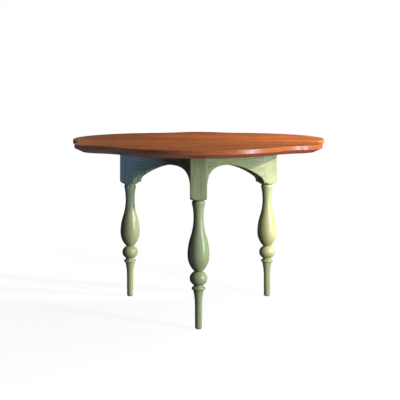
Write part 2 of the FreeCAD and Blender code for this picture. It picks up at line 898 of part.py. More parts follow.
def make_boards():
    blank = make_top_blank()
    places = list(dowel_places(blank))
    dowel = make_dowel("dowel_master")
    hole_length = size.dowel_length + size.hole_end_clearance * 2
    dowel_hole = make_cylinder(
        "dowel_hole", size.dowel_radius + size.dowel_clearance, hole_length
    )
    pilot_hole = make_cylinder(
        "top_pilot_hole",
        size.fastener_screw_radius + size.screw_clearance,
        (size.top_screw_length - size.fastener_thickness + size.hole_end_clearance) * 2,
    )
    dowels = [
        copy_of(dowel, f"dowel_{number}", place, tilt=90)
        for number, place in enumerate(places, start=1)
    ]
    holes = [
        copy_of(dowel_hole, f"dowel_hole_{number}", place, tilt=90)
        for number, place in enumerate(places, start=1)
    ]
    holes += [
        copy_of(pilot_hole, f"top_pilot_{number}", (*discs[1], top_underside))
        for number, _, discs in fastener_frames()
    ]
    all_holes = group("top_holes", holes)
    boards = []
    for number in range(BOARD_COUNT):
        label = f"top_board_{number + 1}"
        box = doc.addObject("Part::Box", f"{label}_box")
        low = board_width * number - size.leg_lobe_reach
        high = low + board_width
        if number == 0:
            low = -size.leg_lobe_reach - size.cut_overrun
        if number == BOARD_COUNT - 1:
            high = size.leg_lobe_reach + size.cut_overrun
        half_length = size.leg_lobe_reach + size.cut_overrun
        bind(box, Length=half_length * 2, Width=high - low, Height=size.top_thickness)
        bind_place(box, "Placement", x=-half_length, y=low, z=top_underside)
        strip = doc.addObject("Part::Common", f"{label}_strip")
        strip.Base = blank
        strip.Tool = box
        board = doc.addObject("Part::Cut", label)
        board.Label = label
        board.Base = strip
        board.Tool = all_holes
        boards.append(board)
    return boards, group("board_dowels", dowels)


# Fasteners and glides in their places


def make_top_fasteners():
    plate = make_fastener_plate("fastener_plate_master")
    apron_screw = make_flat_screw("apron_screw_master", size.apron_screw_length)
    top_screw = make_flat_screw("top_screw_master", size.top_screw_length)
    plates = []
    apron_screws = []
    top_screws = []
    plate_underside = top_underside - size.fastener_thickness
    for number, turn, (first, second) in fastener_frames():
        place = (*first, top_underside)
        plates.append(copy_of(plate, f"fastener_plate_{number}", place, turn))
        apron_screws.append(copy_of(apron_screw, f"apron_screw_{number}", place, turn))
        place = (*second, plate_underside)
        top_screws.append(copy_of(top_screw, f"top_screw_{number}", place, turn, tilt=180))
    return [
        group("top_fasteners", plates),
        group("fastener_apron_screws", apron_screws),
        group("fastener_top_screws", top_screws),
    ]


def make_block_screws():
    screw = make_round_screw("block_screw_master")
    copies = []
    for name, turn in LEG_TURNS.items():
        place = turned(block_inner_end, turn - 90)
        for number, height in enumerate(block_screw_heights, start=1):
            label = f"block_screw_{name}_{number}"
            copies.append(copy_of(screw, label, (*place, height), turn, tilt=-90))
    return group("corner_block_screws", copies)


def make_glide(name, turn):
    """A disc under a foot, with a recess for the head of its nail."""
    body = new_body(f"foot_glide_{name}", turn)
    place = turned(size.leg_circle_radius, turn - 90)
    bind_place(body, "Placement", x=place[0], y=place[1])
    recess = size.nail_head_radius + size.glide_clearance
    hole = size.nail_radius + size.glide_clearance
    outline = new_sketch(body, f"glide_outline_{name}", "XZ_Plane")
    rounding = size.glide_round_radius
    draw_loop(
        outline,
        [
            (recess, ZERO),
            (size.glide_radius - rounding, ZERO),
            (size.glide_radius, rounding),
            (size.glide_radius, size.glide_thickness),
            (hole, size.glide_thickness),
            (hole, size.glide_recess_depth),
            (recess, size.glide_recess_depth),
        ],
        {1: (rounding, True)},
    )
    add_feature(body, "Revolution", f"glide_{name}", outline, angle=360)
    return body


def make_glide_nails():
    nail = make_nail("nail_master")
    copies = []
    for name, turn in LEG_TURNS.items():
        place = (*turned(size.leg_circle_radius, turn - 90), size.glide_recess_depth)
        copies.append(copy_of(nail, f"nail_{name}", place, turn))
    return group("glide_nails", copies)


# The whole table


def make_table():
    parts = [make_leg(name, turn) for name, turn in LEG_TURNS.items()]
    parts += [make_apron(name, turn) for name, turn in APRON_TURNS.items()]
    parts += [make_corner_block(name, turn) for name, turn in LEG_TURNS.items()]
    parts.append(make_block_screws())
    boards, dowels = make_boards()
    parts += boards
    parts.append(dowels)
    parts += make_top_fasteners()
    parts += [make_glide(name, turn) for name, turn in LEG_TURNS.items()]
    parts.append(make_glide_nails())
    return parts


def check_document(parts):
    doc.recompute()
    for thing in doc.Objects:
        if "Invalid" in thing.State or "Error" in thing.State:
            raise RuntimeError(f"{thing.Name} failed: {thing.State}")
    for part in parts:
        if part.Shape.isNull() or not part.Shape.isValid():
            raise RuntimeError(f"{part.Label} has no valid shape")


sub_parts = make_table()
check_document(sub_parts)
os.makedirs("parts", exist_ok=True)
for sub_part in sub_parts:
    sub_part.Shape.exportStep(f"parts/{sub_part.Label}.step")
    print(sub_part.Label, len(sub_part.Shape.Solids), "solids", round(sub_part.Shape.Volume), "mm3")
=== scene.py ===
# %% [markdown]
# # A dining table with a lobed top and a painted base
# The table has three turned legs, three concave aprons between them and a wooden top whose edge
# swells over each leg and again between the legs. The construction is loaded as a fixed frame, in
# which every board, screw and dowel has its real size and place. It could be left as it is, in plain
# grey. This file gives it its surfaces instead: the legs, the aprons and the boards are made again
# with finer surfaces, because they meet the eye first, and every other piece gets a material.

import bmesh
import bpy
import numpy as np
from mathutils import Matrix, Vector


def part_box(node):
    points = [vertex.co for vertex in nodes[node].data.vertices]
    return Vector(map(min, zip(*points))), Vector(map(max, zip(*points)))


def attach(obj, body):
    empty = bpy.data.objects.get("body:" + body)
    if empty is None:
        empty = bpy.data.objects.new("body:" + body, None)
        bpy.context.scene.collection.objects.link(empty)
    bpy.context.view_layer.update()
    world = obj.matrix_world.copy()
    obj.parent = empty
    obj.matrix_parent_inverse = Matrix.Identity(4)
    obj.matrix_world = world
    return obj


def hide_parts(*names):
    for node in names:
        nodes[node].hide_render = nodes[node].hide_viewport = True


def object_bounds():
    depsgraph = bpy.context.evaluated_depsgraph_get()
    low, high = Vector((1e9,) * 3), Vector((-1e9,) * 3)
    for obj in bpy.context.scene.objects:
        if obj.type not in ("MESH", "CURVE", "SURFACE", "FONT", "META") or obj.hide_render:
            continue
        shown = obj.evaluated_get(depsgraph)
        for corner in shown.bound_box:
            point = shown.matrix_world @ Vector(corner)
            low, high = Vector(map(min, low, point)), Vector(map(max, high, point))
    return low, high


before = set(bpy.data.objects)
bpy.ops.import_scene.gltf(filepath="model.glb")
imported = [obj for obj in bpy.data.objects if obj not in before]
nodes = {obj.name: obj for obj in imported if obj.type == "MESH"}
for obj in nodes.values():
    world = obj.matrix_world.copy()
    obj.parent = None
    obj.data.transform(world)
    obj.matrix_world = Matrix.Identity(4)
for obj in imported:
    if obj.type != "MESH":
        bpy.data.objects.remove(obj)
cad_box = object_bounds()
print(f"{len(nodes)} pieces, from {tuple(cad_box[0])} to {tuple(cad_box[1])}")

# %% [markdown]
# ## The camera
# A picture taken from four metres away with a long lens keeps upright lines upright when the camera
# looks level and the lens is shifted down instead. A camera tilted down would be simpler to set, but
# the legs would run together towards the floor. So the horizon lies high in the picture, and the
# legs stay parallel. The focal length in pixels, the distance and the two shifts were worked out
# from the table's edges and feet.

# %% Camera
IMAGE_SIDE_PX = 400
SENSOR_WIDTH_MM = 36
FOCAL_LENGTH_PX = 910.9
AXIS_COLUMN_PX = 198.5
HORIZON_ROW_PX = 75.96
CAMERA_DISTANCE = 4.1708
CAMERA_HEIGHT = 1.0519



def add_object(name, data):
    """A new object with its mesh, camera or lamp, linked into the scene."""
    made = bpy.data.objects.new(name, data)
    bpy.context.scene.collection.objects.link(made)
    return made


middle_px = IMAGE_SIDE_PX / 2
camera = add_object("camera", bpy.data.cameras.new("camera"))
camera.location = (0, -CAMERA_DISTANCE, CAMERA_HEIGHT)
camera.rotation_euler = (np.pi / 2, 0, 0)
camera.data.sensor_width = SENSOR_WIDTH_MM
camera.data.lens = FOCAL_LENGTH_PX / IMAGE_SIDE_PX * SENSOR_WIDTH_MM
camera.data.shift_x = (middle_px - AXIS_COLUMN_PX) / IMAGE_SIDE_PX
camera.data.shift_y = (HORIZON_ROW_PX - middle_px) / IMAGE_SIDE_PX
bpy.context.scene.camera = camera
print(f"lens {camera.data.lens:.1f} mm, shift {camera.data.shift_x:.4f}, {camera.data.shift_y:.4f}")

# %% [markdown]
# ## Surfaces from grids
# Legs, aprons and boards are solid wood, so each new piece has to be a closed surface. It could be
# modelled by hand from a cube or a circle. Here it is one sheet of points, bent until it closes,
# because a formula gives the same exact form each time. The points are worked out as whole arrays:
# rows run along the piece and columns run round it. One helper turns such a grid into a mesh. It
# joins the last column to the first, closes each end with a fan, and writes a UV map in metres, so
# that brush marks can follow the surface.

# %% Grid helper
MM = 0.001
SHARP_DEGREES = 35


def tube_mesh(name, points, across, along):
    """A closed surface from points[row, column]: quads between neighbours, and a fan at each end.

    across[row, column] and along[row, column] are the UV coordinates in metres, with one column more
    than the points, because the seam has two values.
    """
    rows, columns = points.shape[:2]
    row, column = np.meshgrid(np.arange(rows - 1), np.arange(columns), indexing="ij")
    ahead = (column + 1) % columns
    quads = np.stack(
        [row * columns + column, row * columns + ahead,
         (row + 1) * columns + ahead, (row + 1) * columns + column], axis=-1
    ).reshape(-1, 4)
    corners = [(row, column), (row, column + 1), (row + 1, column + 1), (row + 1, column)]
    quad_uv = np.stack(
        [np.stack([across[r, c], along[r, c]], axis=-1) for r, c in corners], axis=2
    ).reshape(-1, 2)
    ends = []
    end_uv = []
    for end_row, pole, order in ((0, rows * columns, 1), (rows - 1, rows * columns + 1, -1)):
        ring = end_row * columns + np.arange(columns)
        fan = np.stack([np.full(columns, pole), np.roll(ring, -1), ring], axis=-1)
        ends.append(fan[:, ::order])
        step = np.arange(columns)
        middle_uv = np.stack([across[end_row, step], along[end_row, step]], axis=-1)
        next_uv = np.stack([across[end_row, step + 1], along[end_row, step + 1]], axis=-1)
        fan_uv = np.stack([middle_uv, next_uv, middle_uv], axis=1)
        end_uv.append(fan_uv[:, ::order].reshape(-1, 2))
    poles = points[[0, -1]].mean(axis=1)
    vertices = np.concatenate([points.reshape(-1, 3), poles])
    faces = quads.tolist() + ends[0].tolist() + ends[1].tolist()
    mesh = bpy.data.meshes.new(name)
    mesh.from_pydata(vertices.tolist(), [], faces)
    layer = mesh.uv_layers.new(name="brush")
    layer.data.foreach_set("uv", np.concatenate([quad_uv, *end_uv]).astype(np.float32).ravel())
    mesh.shade_smooth()
    mesh.set_sharp_from_angle(angle=np.radians(SHARP_DEGREES))
    mesh.validate()
    return add_object(name, mesh)


print(f"edges sharper than {SHARP_DEGREES} degrees stay crisp")

# %% [markdown]
# ## The sizes of a leg
# Each leg is one stick of wood. The upper part stays square, and everything below it is turned on
# a lathe: from the floor up a slender ankle, a ring, a ball, a long vase, a neck and a lip. The
# sizes could be read back from the frame's mesh. They are written down as a turner's list instead:
# the height of each widest and narrowest place, its radius, and the radius of the curve over it.

# %% Sizes of a leg
LEG_SIZES = {  # mm
    "foot_radius": 14.6, "foot_round": 3, "foot_height": 2.5,
    "ankle_height": 98, "ankle_radius": 15.2,
    "ring_height": 168.5, "ring_radius": 28.8, "ring_half_thickness": 6,
    "lower_waist_radius": 20.3,
    "ball_height": 210, "ball_radius": 37, "ball_curve": 29.5,
    "upper_waist_radius": 16.8,
    "bulb_height": 307, "bulb_radius": 46, "bulb_lower_curve": 95, "bulb_upper_curve": 244,
    "neck_height": 462, "neck_radius": 21.2,
    "lip_height": 523, "lip_radius": 28.3, "lip_curve": 9,
    "groove_radius": 24.5,
    "shoulder_foot_height": 535, "shoulder_height": 18, "shoulder_curve": 40,
    "post_half": 35.75, "outer_arris": 4, "inner_arris": 1.2,
}
print(f"{len(LEG_SIZES)} sizes of a leg, {2 * LEG_SIZES['bulb_radius']} mm across its vase")

# %% [markdown]
# ## Compass and ruler
# A turner lays out such a leg with a pair of compasses. A Bezier curve could come close to that
# line, but a circle has only one radius, and it is the steady curve of each hollow and swelling that
# the highlights show. So two small functions give the points of an arc and of a straight cut.

# %% Arcs and straight cuts
ROW_STEP_MM = 3.0
LINE_STEP_MM = 12.0
LEAST_ARC_STEPS = 8


def arc(start, end, radius, centre_on_left):
    """Points on an arc from start to end: centre plus radius times (cosine, sine) of the angle."""
    start, end = np.array(start, float), np.array(end, float)
    run = end - start
    aside = np.array([-run[1], run[0]]) / np.hypot(*run) * (1 if centre_on_left else -1)
    centre = (start + end) / 2 + aside * np.sqrt(max(radius**2 - run @ run / 4, 0))
    first, last = (np.arctan2(p[1] - centre[1], p[0] - centre[0]) for p in (start, end))
    sweep = (last - first) % (2 * np.pi)
    if not centre_on_left:
        sweep -= 2 * np.pi
    count = max(LEAST_ARC_STEPS, int(abs(sweep) * radius / ROW_STEP_MM))
    angle = first + sweep * np.linspace(0, 1, count + 1)
    return centre + radius * np.stack([np.cos(angle), np.sin(angle)], axis=-1)


def straight(start, end):
    """Even steps on the line from start to end, about LINE_STEP_MM long."""
    count = max(2, int(np.hypot(end[0] - start[0], end[1] - start[1]) / LINE_STEP_MM))
    return np.linspace(start, end, count + 1)


print(f"a quarter turn at 40 mm takes {len(arc((40, 0), (0, 40), 40, True))} points")

# %% [markdown]
# ## Two rules of the compass
# Not every radius stands in the list, because arcs that touch each other settle some of them. They
# could be tried out until the line looks smooth. Two rules give them exactly. A hollow that starts
# upright and moves out by a step over a rise has the radius (step squared + rise squared) / (2 x
# step), and where a swelling runs on into a hollow, that is the sum of their two radii. A swelling
# of a known curve meets a waist at a drop below its widest place, where drop squared is the curve
# squared less the square of the waist's distance from the curve's centre.

# %% Two rules of the compass


def hollow_radius(step, rise):
    """Step squared plus rise squared, over twice the step."""
    return (step**2 + rise**2) / (2 * step)


def drop_to_waist(widest, curve, waist):
    """The root of curve squared less the square of (waist - (widest - curve))."""
    return np.sqrt(curve**2 - (waist - (widest - curve)) ** 2)


print(f"a hollow of 10 mm over a rise of 30 mm has a radius of {hollow_radius(10, 30):.0f} mm")

# %% [markdown]
# ## The turned outline
# The outline is a chain of those arcs and cuts from the foot to the top of the post. It could be a
# long list of points read off a drawing, but then a change of one size would need a new drawing.
# Here every place of the turner's list becomes a point, and the chain runs from place to place.

# %% Turned outline


def turned_outline(s, top_height):
    """Radius and height along the leg, from the foot up: arcs and lines from place to place."""
    ring_root = s["ring_radius"] - s["ring_half_thickness"]
    ring_low = (ring_root, s["ring_height"] - s["ring_half_thickness"])
    ring_rim = (s["ring_radius"], s["ring_height"])
    ring_high = (ring_root, s["ring_height"] + s["ring_half_thickness"])
    ball_drop, ball_rise = (
        drop_to_waist(s["ball_radius"], s["ball_curve"], s[waist])
        for waist in ("lower_waist_radius", "upper_waist_radius")
    )
    vase_drop = drop_to_waist(s["bulb_radius"], s["bulb_lower_curve"], s["upper_waist_radius"])
    step = s["bulb_radius"] - s["neck_radius"]
    rise = s["neck_height"] - s["bulb_height"]
    both = hollow_radius(step, rise)
    share = s["bulb_upper_curve"] / both
    meeting = (
        s["bulb_radius"] - s["bulb_upper_curve"] + (both - step) * share,
        s["bulb_height"] + rise * share,
    )
    lip_hollow = hollow_radius(s["lip_radius"] - s["neck_radius"], s["lip_height"] - s["neck_height"])
    sole = (s["foot_radius"] - s["foot_round"], s["foot_height"])
    foot = (s["foot_radius"], s["foot_height"] + s["foot_round"])
    ankle = (s["ankle_radius"], s["ankle_height"])
    flare = hollow_radius(ring_root - ankle[0], ring_low[1] - ankle[1])
    waist_low = (s["lower_waist_radius"], ring_high[1])
    ball_low = (s["lower_waist_radius"], s["ball_height"] - ball_drop)
    ball = (s["ball_radius"], s["ball_height"])
    ball_high = (s["upper_waist_radius"], s["ball_height"] + ball_rise)
    vase_low = (s["upper_waist_radius"], s["bulb_height"] - vase_drop)
    bulb = (s["bulb_radius"], s["bulb_height"])
    neck = (s["neck_radius"], s["neck_height"])
    lip = (s["lip_radius"], s["lip_height"])
    lip_high = (s["groove_radius"], s["lip_height"] + s["lip_curve"])
    groove = (s["groove_radius"], s["shoulder_foot_height"])
    corner = (s["post_half"] * np.sqrt(2), s["shoulder_foot_height"] + s["shoulder_height"])
    pieces = [
        arc(sole, foot, s["foot_round"], True),
        straight(foot, ankle),
        arc(ankle, ring_low, flare, False),
        arc(ring_low, ring_rim, s["ring_half_thickness"], True),
        arc(ring_rim, ring_high, s["ring_half_thickness"], True),
        straight(ring_high, waist_low),
        straight(waist_low, ball_low),
        arc(ball_low, ball, s["ball_curve"], True),
        arc(ball, ball_high, s["ball_curve"], True),
        straight(ball_high, vase_low),
        arc(vase_low, bulb, s["bulb_lower_curve"], True),
        arc(bulb, meeting, s["bulb_upper_curve"], True),
        arc(meeting, neck, both - s["bulb_upper_curve"], False),
        arc(neck, lip, lip_hollow, False),
        arc(lip, lip_high, s["lip_curve"], True),
        straight(lip_high, groove),
        arc(groove, corner, s["shoulder_curve"], True),
        straight(corner, (corner[0], top_height)),
    ]
    outline = np.concatenate([pieces[0]] + [piece[1:] for piece in pieces[1:]])
    return outline[:, 0], outline[:, 1]


front_leg_low, front_leg_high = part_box("leg_front")
leg_circle = -(front_leg_low.y + front_leg_high.y) / 2
post_top = front_leg_high.z
radius, height = turned_outline(LEG_SIZES, post_top / MM)
print(f"outline of {len(radius)} points, legs {leg_circle * 1000:.1f} mm from the axis")

# %% [markdown]
# ## From round to square
# Where the lathe's cut runs out on the four flat faces of the post, it leaves a curved shoulder. A
# Boolean of a box and a turned shape would give it, with hard creases and untidy faces. One formula
# does better: in every direction round the axis, the surface lies at the smaller of two distances,
# that of the square post and that of the turned outline. A soft minimum of the two also rounds the
# crease, as sanding does. The upright edges of the post, its arrises, are rounded more on the
# outside, where hands touch them.

# %% Square post and soft minimum
FACE_COLUMNS = 22
ARRIS_COLUMNS = 7
ARRIS_HALF_DEGREES = 7
SANDED_CREASE_MM = 0.5


def post_directions():
    """Angles round the axis: even steps on each face, and close steps over each arris."""
    half_arris = np.radians(ARRIS_HALF_DEGREES)
    face = np.linspace(-np.pi / 4 + half_arris, np.pi / 4 - half_arris, FACE_COLUMNS + 1)
    arris = np.linspace(-half_arris, half_arris, ARRIS_COLUMNS + 2)[1:-1] + np.pi / 4
    quarter = np.concatenate([face, arris])
    return np.concatenate([quarter + turn * np.pi / 2 for turn in range(4)])


def post_distance(angle, half, outer_arris, inner_arris):
    """Distance from the axis to a square with rounded corners: half over cosine on a face, and the
    far crossing with the corner's circle on an arris. The corners that face -Y are the outer ones."""
    from_face = (angle + np.pi / 4) % (np.pi / 2) - np.pi / 4
    corner = np.where(np.sin(angle) < 0, outer_arris, inner_arris)
    core = half - corner
    cosine, sine = np.cos(from_face), np.abs(np.sin(from_face))
    on_face = half / cosine
    inside_root = corner**2 - core**2 * (cosine - sine) ** 2
    on_arris = core * (cosine + sine) + np.sqrt(np.maximum(inside_root, 0))
    return np.where(sine / cosine * half > core, on_arris, on_face)


def soft_minimum(first, second, softness):
    """Minus softness times the log of the sum of the two exponentials of minus value / softness."""
    return -softness * np.logaddexp(-first / softness, -second / softness)


print(f"{len(post_directions())} columns round a leg")

# %% [markdown]
# ## The painted legs
# The three legs are one leg, turned to face outwards from three places. An Array modifier round an
# empty could repeat it. Three meshes are made instead, because each leg is a piece of its own, and
# because its UV map can then be moved a little, so that no two legs carry the same brush marks.

# %% Painted legs


def leg_surface(s, radius, height):
    """Distance(angle, height) = soft minimum of the turned radius and the post's distance."""
    angle = post_directions()
    square = post_distance(angle, s["post_half"], s["outer_arris"], s["inner_arris"])
    distance = soft_minimum(radius[:, None], square[None, :], SANDED_CREASE_MM)
    below = (height < s["shoulder_foot_height"])[:, None]
    distance = np.where(below, radius[:, None], distance)
    upright = np.broadcast_to(height[:, None], distance.shape)
    points = np.stack([distance * np.cos(angle), distance * np.sin(angle), upright], axis=-1)
    return points * MM, angle


def turned_about_z(points, degrees):
    """Each point times the matrix of a turn about the vertical axis: cosines and sines of it."""
    cosine, sine = np.cos(np.radians(degrees)), np.sin(np.radians(degrees))
    return points @ np.array([[cosine, sine, 0], [-sine, cosine, 0], [0, 0, 1]])


leg_points, leg_angle = leg_surface(LEG_SIZES, radius, height)
seam = np.append(leg_angle, leg_angle[0] + 2 * np.pi)
leg_across = np.broadcast_to(seam * LEG_SIZES["bulb_radius"] * MM, (len(height), len(seam)))
leg_along = np.broadcast_to(height[:, None] * MM, leg_across.shape)
painted = []
for place, turn in (("front", 0), ("right", 120), ("left", 240)):
    stood = turned_about_z(leg_points + np.array([0, -leg_circle, 0]), turn)
    leg = tube_mesh(f"painted_leg_{place}", stood, leg_across + turn * MM, leg_along + turn * MM)
    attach(leg, "root")
    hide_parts(f"leg_{place}")
    painted.append(leg)
print(f"{len(painted)} legs of {len(painted[0].data.polygons)} faces")

# %% [markdown]
# ## The arch of an apron
# An apron is a board bent to a hollow curve, with an arch cut out of its lower edge. On a bench the
# arch is drawn flat on a workshop template, and a Boolean could cut it out of a bent board. Here the
# template's line is worked out and the board is built along it, which leaves no stray faces. The
# line has a level foot, a small arc at each haunch and one wide arc over the crown, all tangent.

# %% Arch template
APRON_SIZES = {  # mm
    "arch_rise": 104, "arch_foot_width": 5, "haunch_radius": 32, "foot_corner": 2,
    "thickness": 28, "arris": 1.4,
}
CROWN_POINTS = 72
HAUNCH_POINTS = 24
CORNER_POINTS = 9
END_DEGREES = 30


def arch_template(half_span, rise, haunch, foot_corner, foot_width, eased):
    """One half of the arch as (across, up) points from the apron's end to the crown, moved eased mm
    into the wood: level foot, rounded foot corner, haunch arc, then crown arc, all tangent."""
    crown = (half_span**2 + rise**2 - 2 * half_span * haunch) / (2 * (rise - haunch))
    centre_across = half_span - haunch
    meeting = np.arctan2(crown - rise, centre_across)
    corner_angle = np.linspace(-np.pi / 2, -np.pi, CORNER_POINTS)
    corner = np.stack(
        [half_span + foot_corner + (foot_corner - eased) * np.cos(corner_angle),
         foot_corner + (foot_corner - eased) * np.sin(corner_angle)], axis=-1
    )
    foot = np.array([[half_span + foot_width, eased]])
    haunch_angle = np.linspace(np.arcsin(foot_corner / haunch), meeting, HAUNCH_POINTS)
    haunch_arc = np.stack(
        [centre_across + (haunch + eased) * np.cos(haunch_angle),
         (haunch + eased) * np.sin(haunch_angle)], axis=-1
    )
    crown_angle = np.linspace(meeting, np.pi / 2, CROWN_POINTS)
    crown_arc = np.stack(
        [(crown + eased) * np.cos(crown_angle),
         rise - crown + (crown + eased) * np.sin(crown_angle)], axis=-1
    )
    return np.concatenate([foot, corner, haunch_arc, crown_arc[1:]])


post_half = LEG_SIZES["post_half"]
post_face = leg_circle / MM - post_half
centre_reach = 2 * post_face
near_radius = np.sqrt(3) * post_face - post_half
far_radius = near_radius + APRON_SIZES["thickness"]
chord_reach = near_radius * np.cos(np.radians(END_DEGREES))
half_span = near_radius * np.sin(np.radians(END_DEGREES)) - APRON_SIZES["arch_foot_width"]
print(f"hollow of {near_radius:.1f} mm, arch of {2 * half_span:.0f} mm between its feet")

# %% [markdown]
# ## Bending the template
# The real apron starts flush with the side of one post and ends flush with the side of the next. It
# would be sawn from a thick plank, or laminated on a former. A flat board with a Simple Deform
# modifier could be bent to it, but its ends would have to be fitted to the posts by eye. Here the
# template is mirrored about its crown, and each of its points is swung round the centre of the
# hollow, which puts the ends where the posts are.

# %% Bent template


def whole_arch(eased):
    """The template mirrored about the crown, from the left end to the right end."""
    s = APRON_SIZES
    half = arch_template(
        half_span, s["arch_rise"], s["haunch_radius"], s["foot_corner"], s["arch_foot_width"], eased
    )
    return np.concatenate([half * [-1, 1], half[-2::-1]])


def swung(across, radius):
    """The angle from the apron's middle: its tangent is the template's distance over the chord's
    reach. The point lies at that angle on a circle about the hollow's centre, on the -Y side."""
    angle = np.arctan(across / chord_reach)
    return radius * np.sin(angle), radius * np.cos(angle) - centre_reach


template_end = whole_arch(0)[-1, 0]
print(f"the template's ends are swung by {np.degrees(np.arctan(template_end / chord_reach)):.1f} degrees")

# %% [markdown]
# ## The aprons
# A Solidify modifier could give the bent arch its thickness, but with sharp edges all round. So a
# section, the loop round the board's thickness, is carried along the arch, with its lower arrises
# rounded a little, as sandpaper leaves them. The UV map runs level along the board, because that is
# the way the brush goes.

# %% Apron surface
FACE_ROWS = 7
ARRIS_ROWS = 4


def apron_surface(foot, top):
    """Section loop at each arch point: up the hollow face, over the top, down the round face, and
    back under the arch, with a quarter circle at each lower arris."""
    arris = APRON_SIZES["arris"]
    edge, eased = whole_arch(0), whole_arch(arris)
    share = np.linspace(0, 1, FACE_ROWS)
    quarter = np.linspace(0, np.pi / 2, ARRIS_ROWS + 1)
    loop = []
    for height_share in share:
        loop.append((eased[:, 0], near_radius, eased[:, 1] + foot, height_share))
    for height_share in share[::-1]:
        loop.append((eased[:, 0], far_radius, eased[:, 1] + foot, height_share))
    for angle in quarter[1:]:
        mixed = eased + (edge - eased) * np.sin(angle)
        loop.append((mixed[:, 0], far_radius - arris * (1 - np.cos(angle)), mixed[:, 1] + foot, 0))
    for angle in quarter[::-1][:-1]:
        mixed = eased + (edge - eased) * np.sin(angle)
        loop.append((mixed[:, 0], near_radius + arris * (1 - np.cos(angle)), mixed[:, 1] + foot, 0))
    columns = []
    for across, radius, low, height_share in loop:
        x, y = swung(across, radius)
        columns.append(np.stack([x, y, low + (top - low) * height_share], axis=-1))
    return np.stack(columns, axis=1) * MM


apron_low, apron_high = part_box("apron_back")
apron_points = apron_surface(apron_low.z / MM, apron_high.z / MM)
hollow_centre = np.array([0, -centre_reach * MM])
depth = np.linalg.norm(apron_points[..., :2] - hollow_centre, axis=-1) - near_radius * MM
apron_across = apron_points[..., 2] + depth
apron_across = np.concatenate([apron_across, apron_across[:, :1]], axis=1)
sweep_angle = np.arctan(whole_arch(0)[:, 0] / chord_reach)
apron_along = np.broadcast_to((sweep_angle * near_radius * MM)[:, None], apron_across.shape)
for place, turn in (("front_left", 300), ("front_right", 60), ("back", 180)):
    apron = tube_mesh(
        f"painted_apron_{place}", turned_about_z(apron_points, turn),
        apron_across + turn * MM, apron_along + turn * MM,
    )
    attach(apron, "root")
    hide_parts(f"apron_{place}")
    painted.append(apron)
print(f"aprons of {len(painted[-1].data.polygons)} faces")

# %% [markdown]
# ## The outline of the top
# The edge of the top is drawn with a compass: a wide arc over each leg, a narrow arc in each gap
# between the legs, and a hollow arc that touches both neighbours. A smooth curve through a few
# points would wobble between them. Arcs that touch keep the even sweep that a router gives, and a
# line parallel to arcs is made of arcs about the same centres. So the outline is a ring of points,
# each with its normal, and any line further in is the point moved inwards along that normal.

# %% Top outline
TOP_SIZES = {  # mm
    "leg_lobe_reach": 608, "leg_lobe_radius": 423,
    "gap_lobe_reach": 596, "gap_lobe_radius": 156, "hollow_radius": 205,
    "band_height": 18, "bevel_width": 35, "arris": 2, "lower_arris": 1.2, "support": 0.6,
}
OUTLINE_STEP_MM = 3
LEG_COUNT = 3
FRONT_LEG_DEGREES = -90


def in_direction(distance, degrees):
    """Distance times (cosine, sine) of the direction, counted from +X."""
    return np.array([np.cos(np.radians(degrees)), np.sin(np.radians(degrees))]) * distance


def bow(centre, first_arm, last_arm, radius, way):
    """Points and normals on an arc between two arms: turning left if way is 1, right if it is -1.
    Each point is the centre plus radius times (cosine, sine), its arm. The normal is the arm, turned
    round where the arc is a hollow."""
    first, last = np.arctan2(first_arm[1], first_arm[0]), np.arctan2(last_arm[1], last_arm[0])
    sweep = way * ((way * (last - first)) % (2 * np.pi))
    count = max(LEAST_ARC_STEPS, int(abs(sweep) * radius / OUTLINE_STEP_MM))
    angle = first + sweep * np.arange(count) / count
    arms = np.stack([np.cos(angle), np.sin(angle)], axis=-1)
    return centre + radius * arms, arms * way


def lobed_edge(s):
    """Points and outward normals round the edge, counterclockwise. A hollow's centre lies where two
    circles cross: those about the two lobes' centres, with the lobe's radius plus the hollow's."""
    centres, radii = [], []
    for turn in range(LEG_COUNT):
        leg_degrees = 360 / LEG_COUNT * turn + FRONT_LEG_DEGREES
        gap_degrees = leg_degrees + 180 / LEG_COUNT
        centres.append(in_direction(s["leg_lobe_reach"] - s["leg_lobe_radius"], leg_degrees))
        centres.append(in_direction(s["gap_lobe_reach"] - s["gap_lobe_radius"], gap_degrees))
        radii += [s["leg_lobe_radius"], s["gap_lobe_radius"]]
    hollows = []
    for number, first in enumerate(centres):
        following = (number + 1) % len(centres)
        gap = centres[following] - first
        length = np.hypot(*gap)
        near = radii[number] + s["hollow_radius"]
        far = radii[following] + s["hollow_radius"]
        along = (near**2 - far**2 + length**2) / (2 * length)
        ahead = gap / length
        hollows.append(first + ahead * along + ahead[::-1] * [1, -1] * np.sqrt(near**2 - along**2))
    bows = []
    for number, centre in enumerate(centres):
        before, after = hollows[number - 1], hollows[number]
        following = centres[(number + 1) % len(centres)]
        bows.append(bow(centre, before - centre, after - centre, radii[number], 1))
        bows.append(bow(after, centre - after, following - after, s["hollow_radius"], -1))
    return (np.concatenate(part) for part in zip(*bows))


edge, edge_normal = lobed_edge(TOP_SIZES)
print(f"edge of {len(edge)} points, {np.ptp(edge[:, 0]):.0f} by {np.ptp(edge[:, 1]):.0f} mm")

# %% [markdown]
# ## The section of the edge
# A router follows that outline twice, once for the square edge band and once for the bevel under it,
# and sandpaper takes the sharpness off the arrises. A Bevel modifier could round them, but it would
# also round the joints between the boards. So the section is a list of stations from the middle of
# the upper face, over the edge, to the middle of the underside. Close pairs of stations on both
# sides of an arris keep the faces beside it flat in the light.

# %% Top section
FLAT_ROWS = 6
UPPER_ARRIS_ROWS = 6
LOWER_ARRIS_ROWS = 5
INNERMOST_SHARE = 0.05


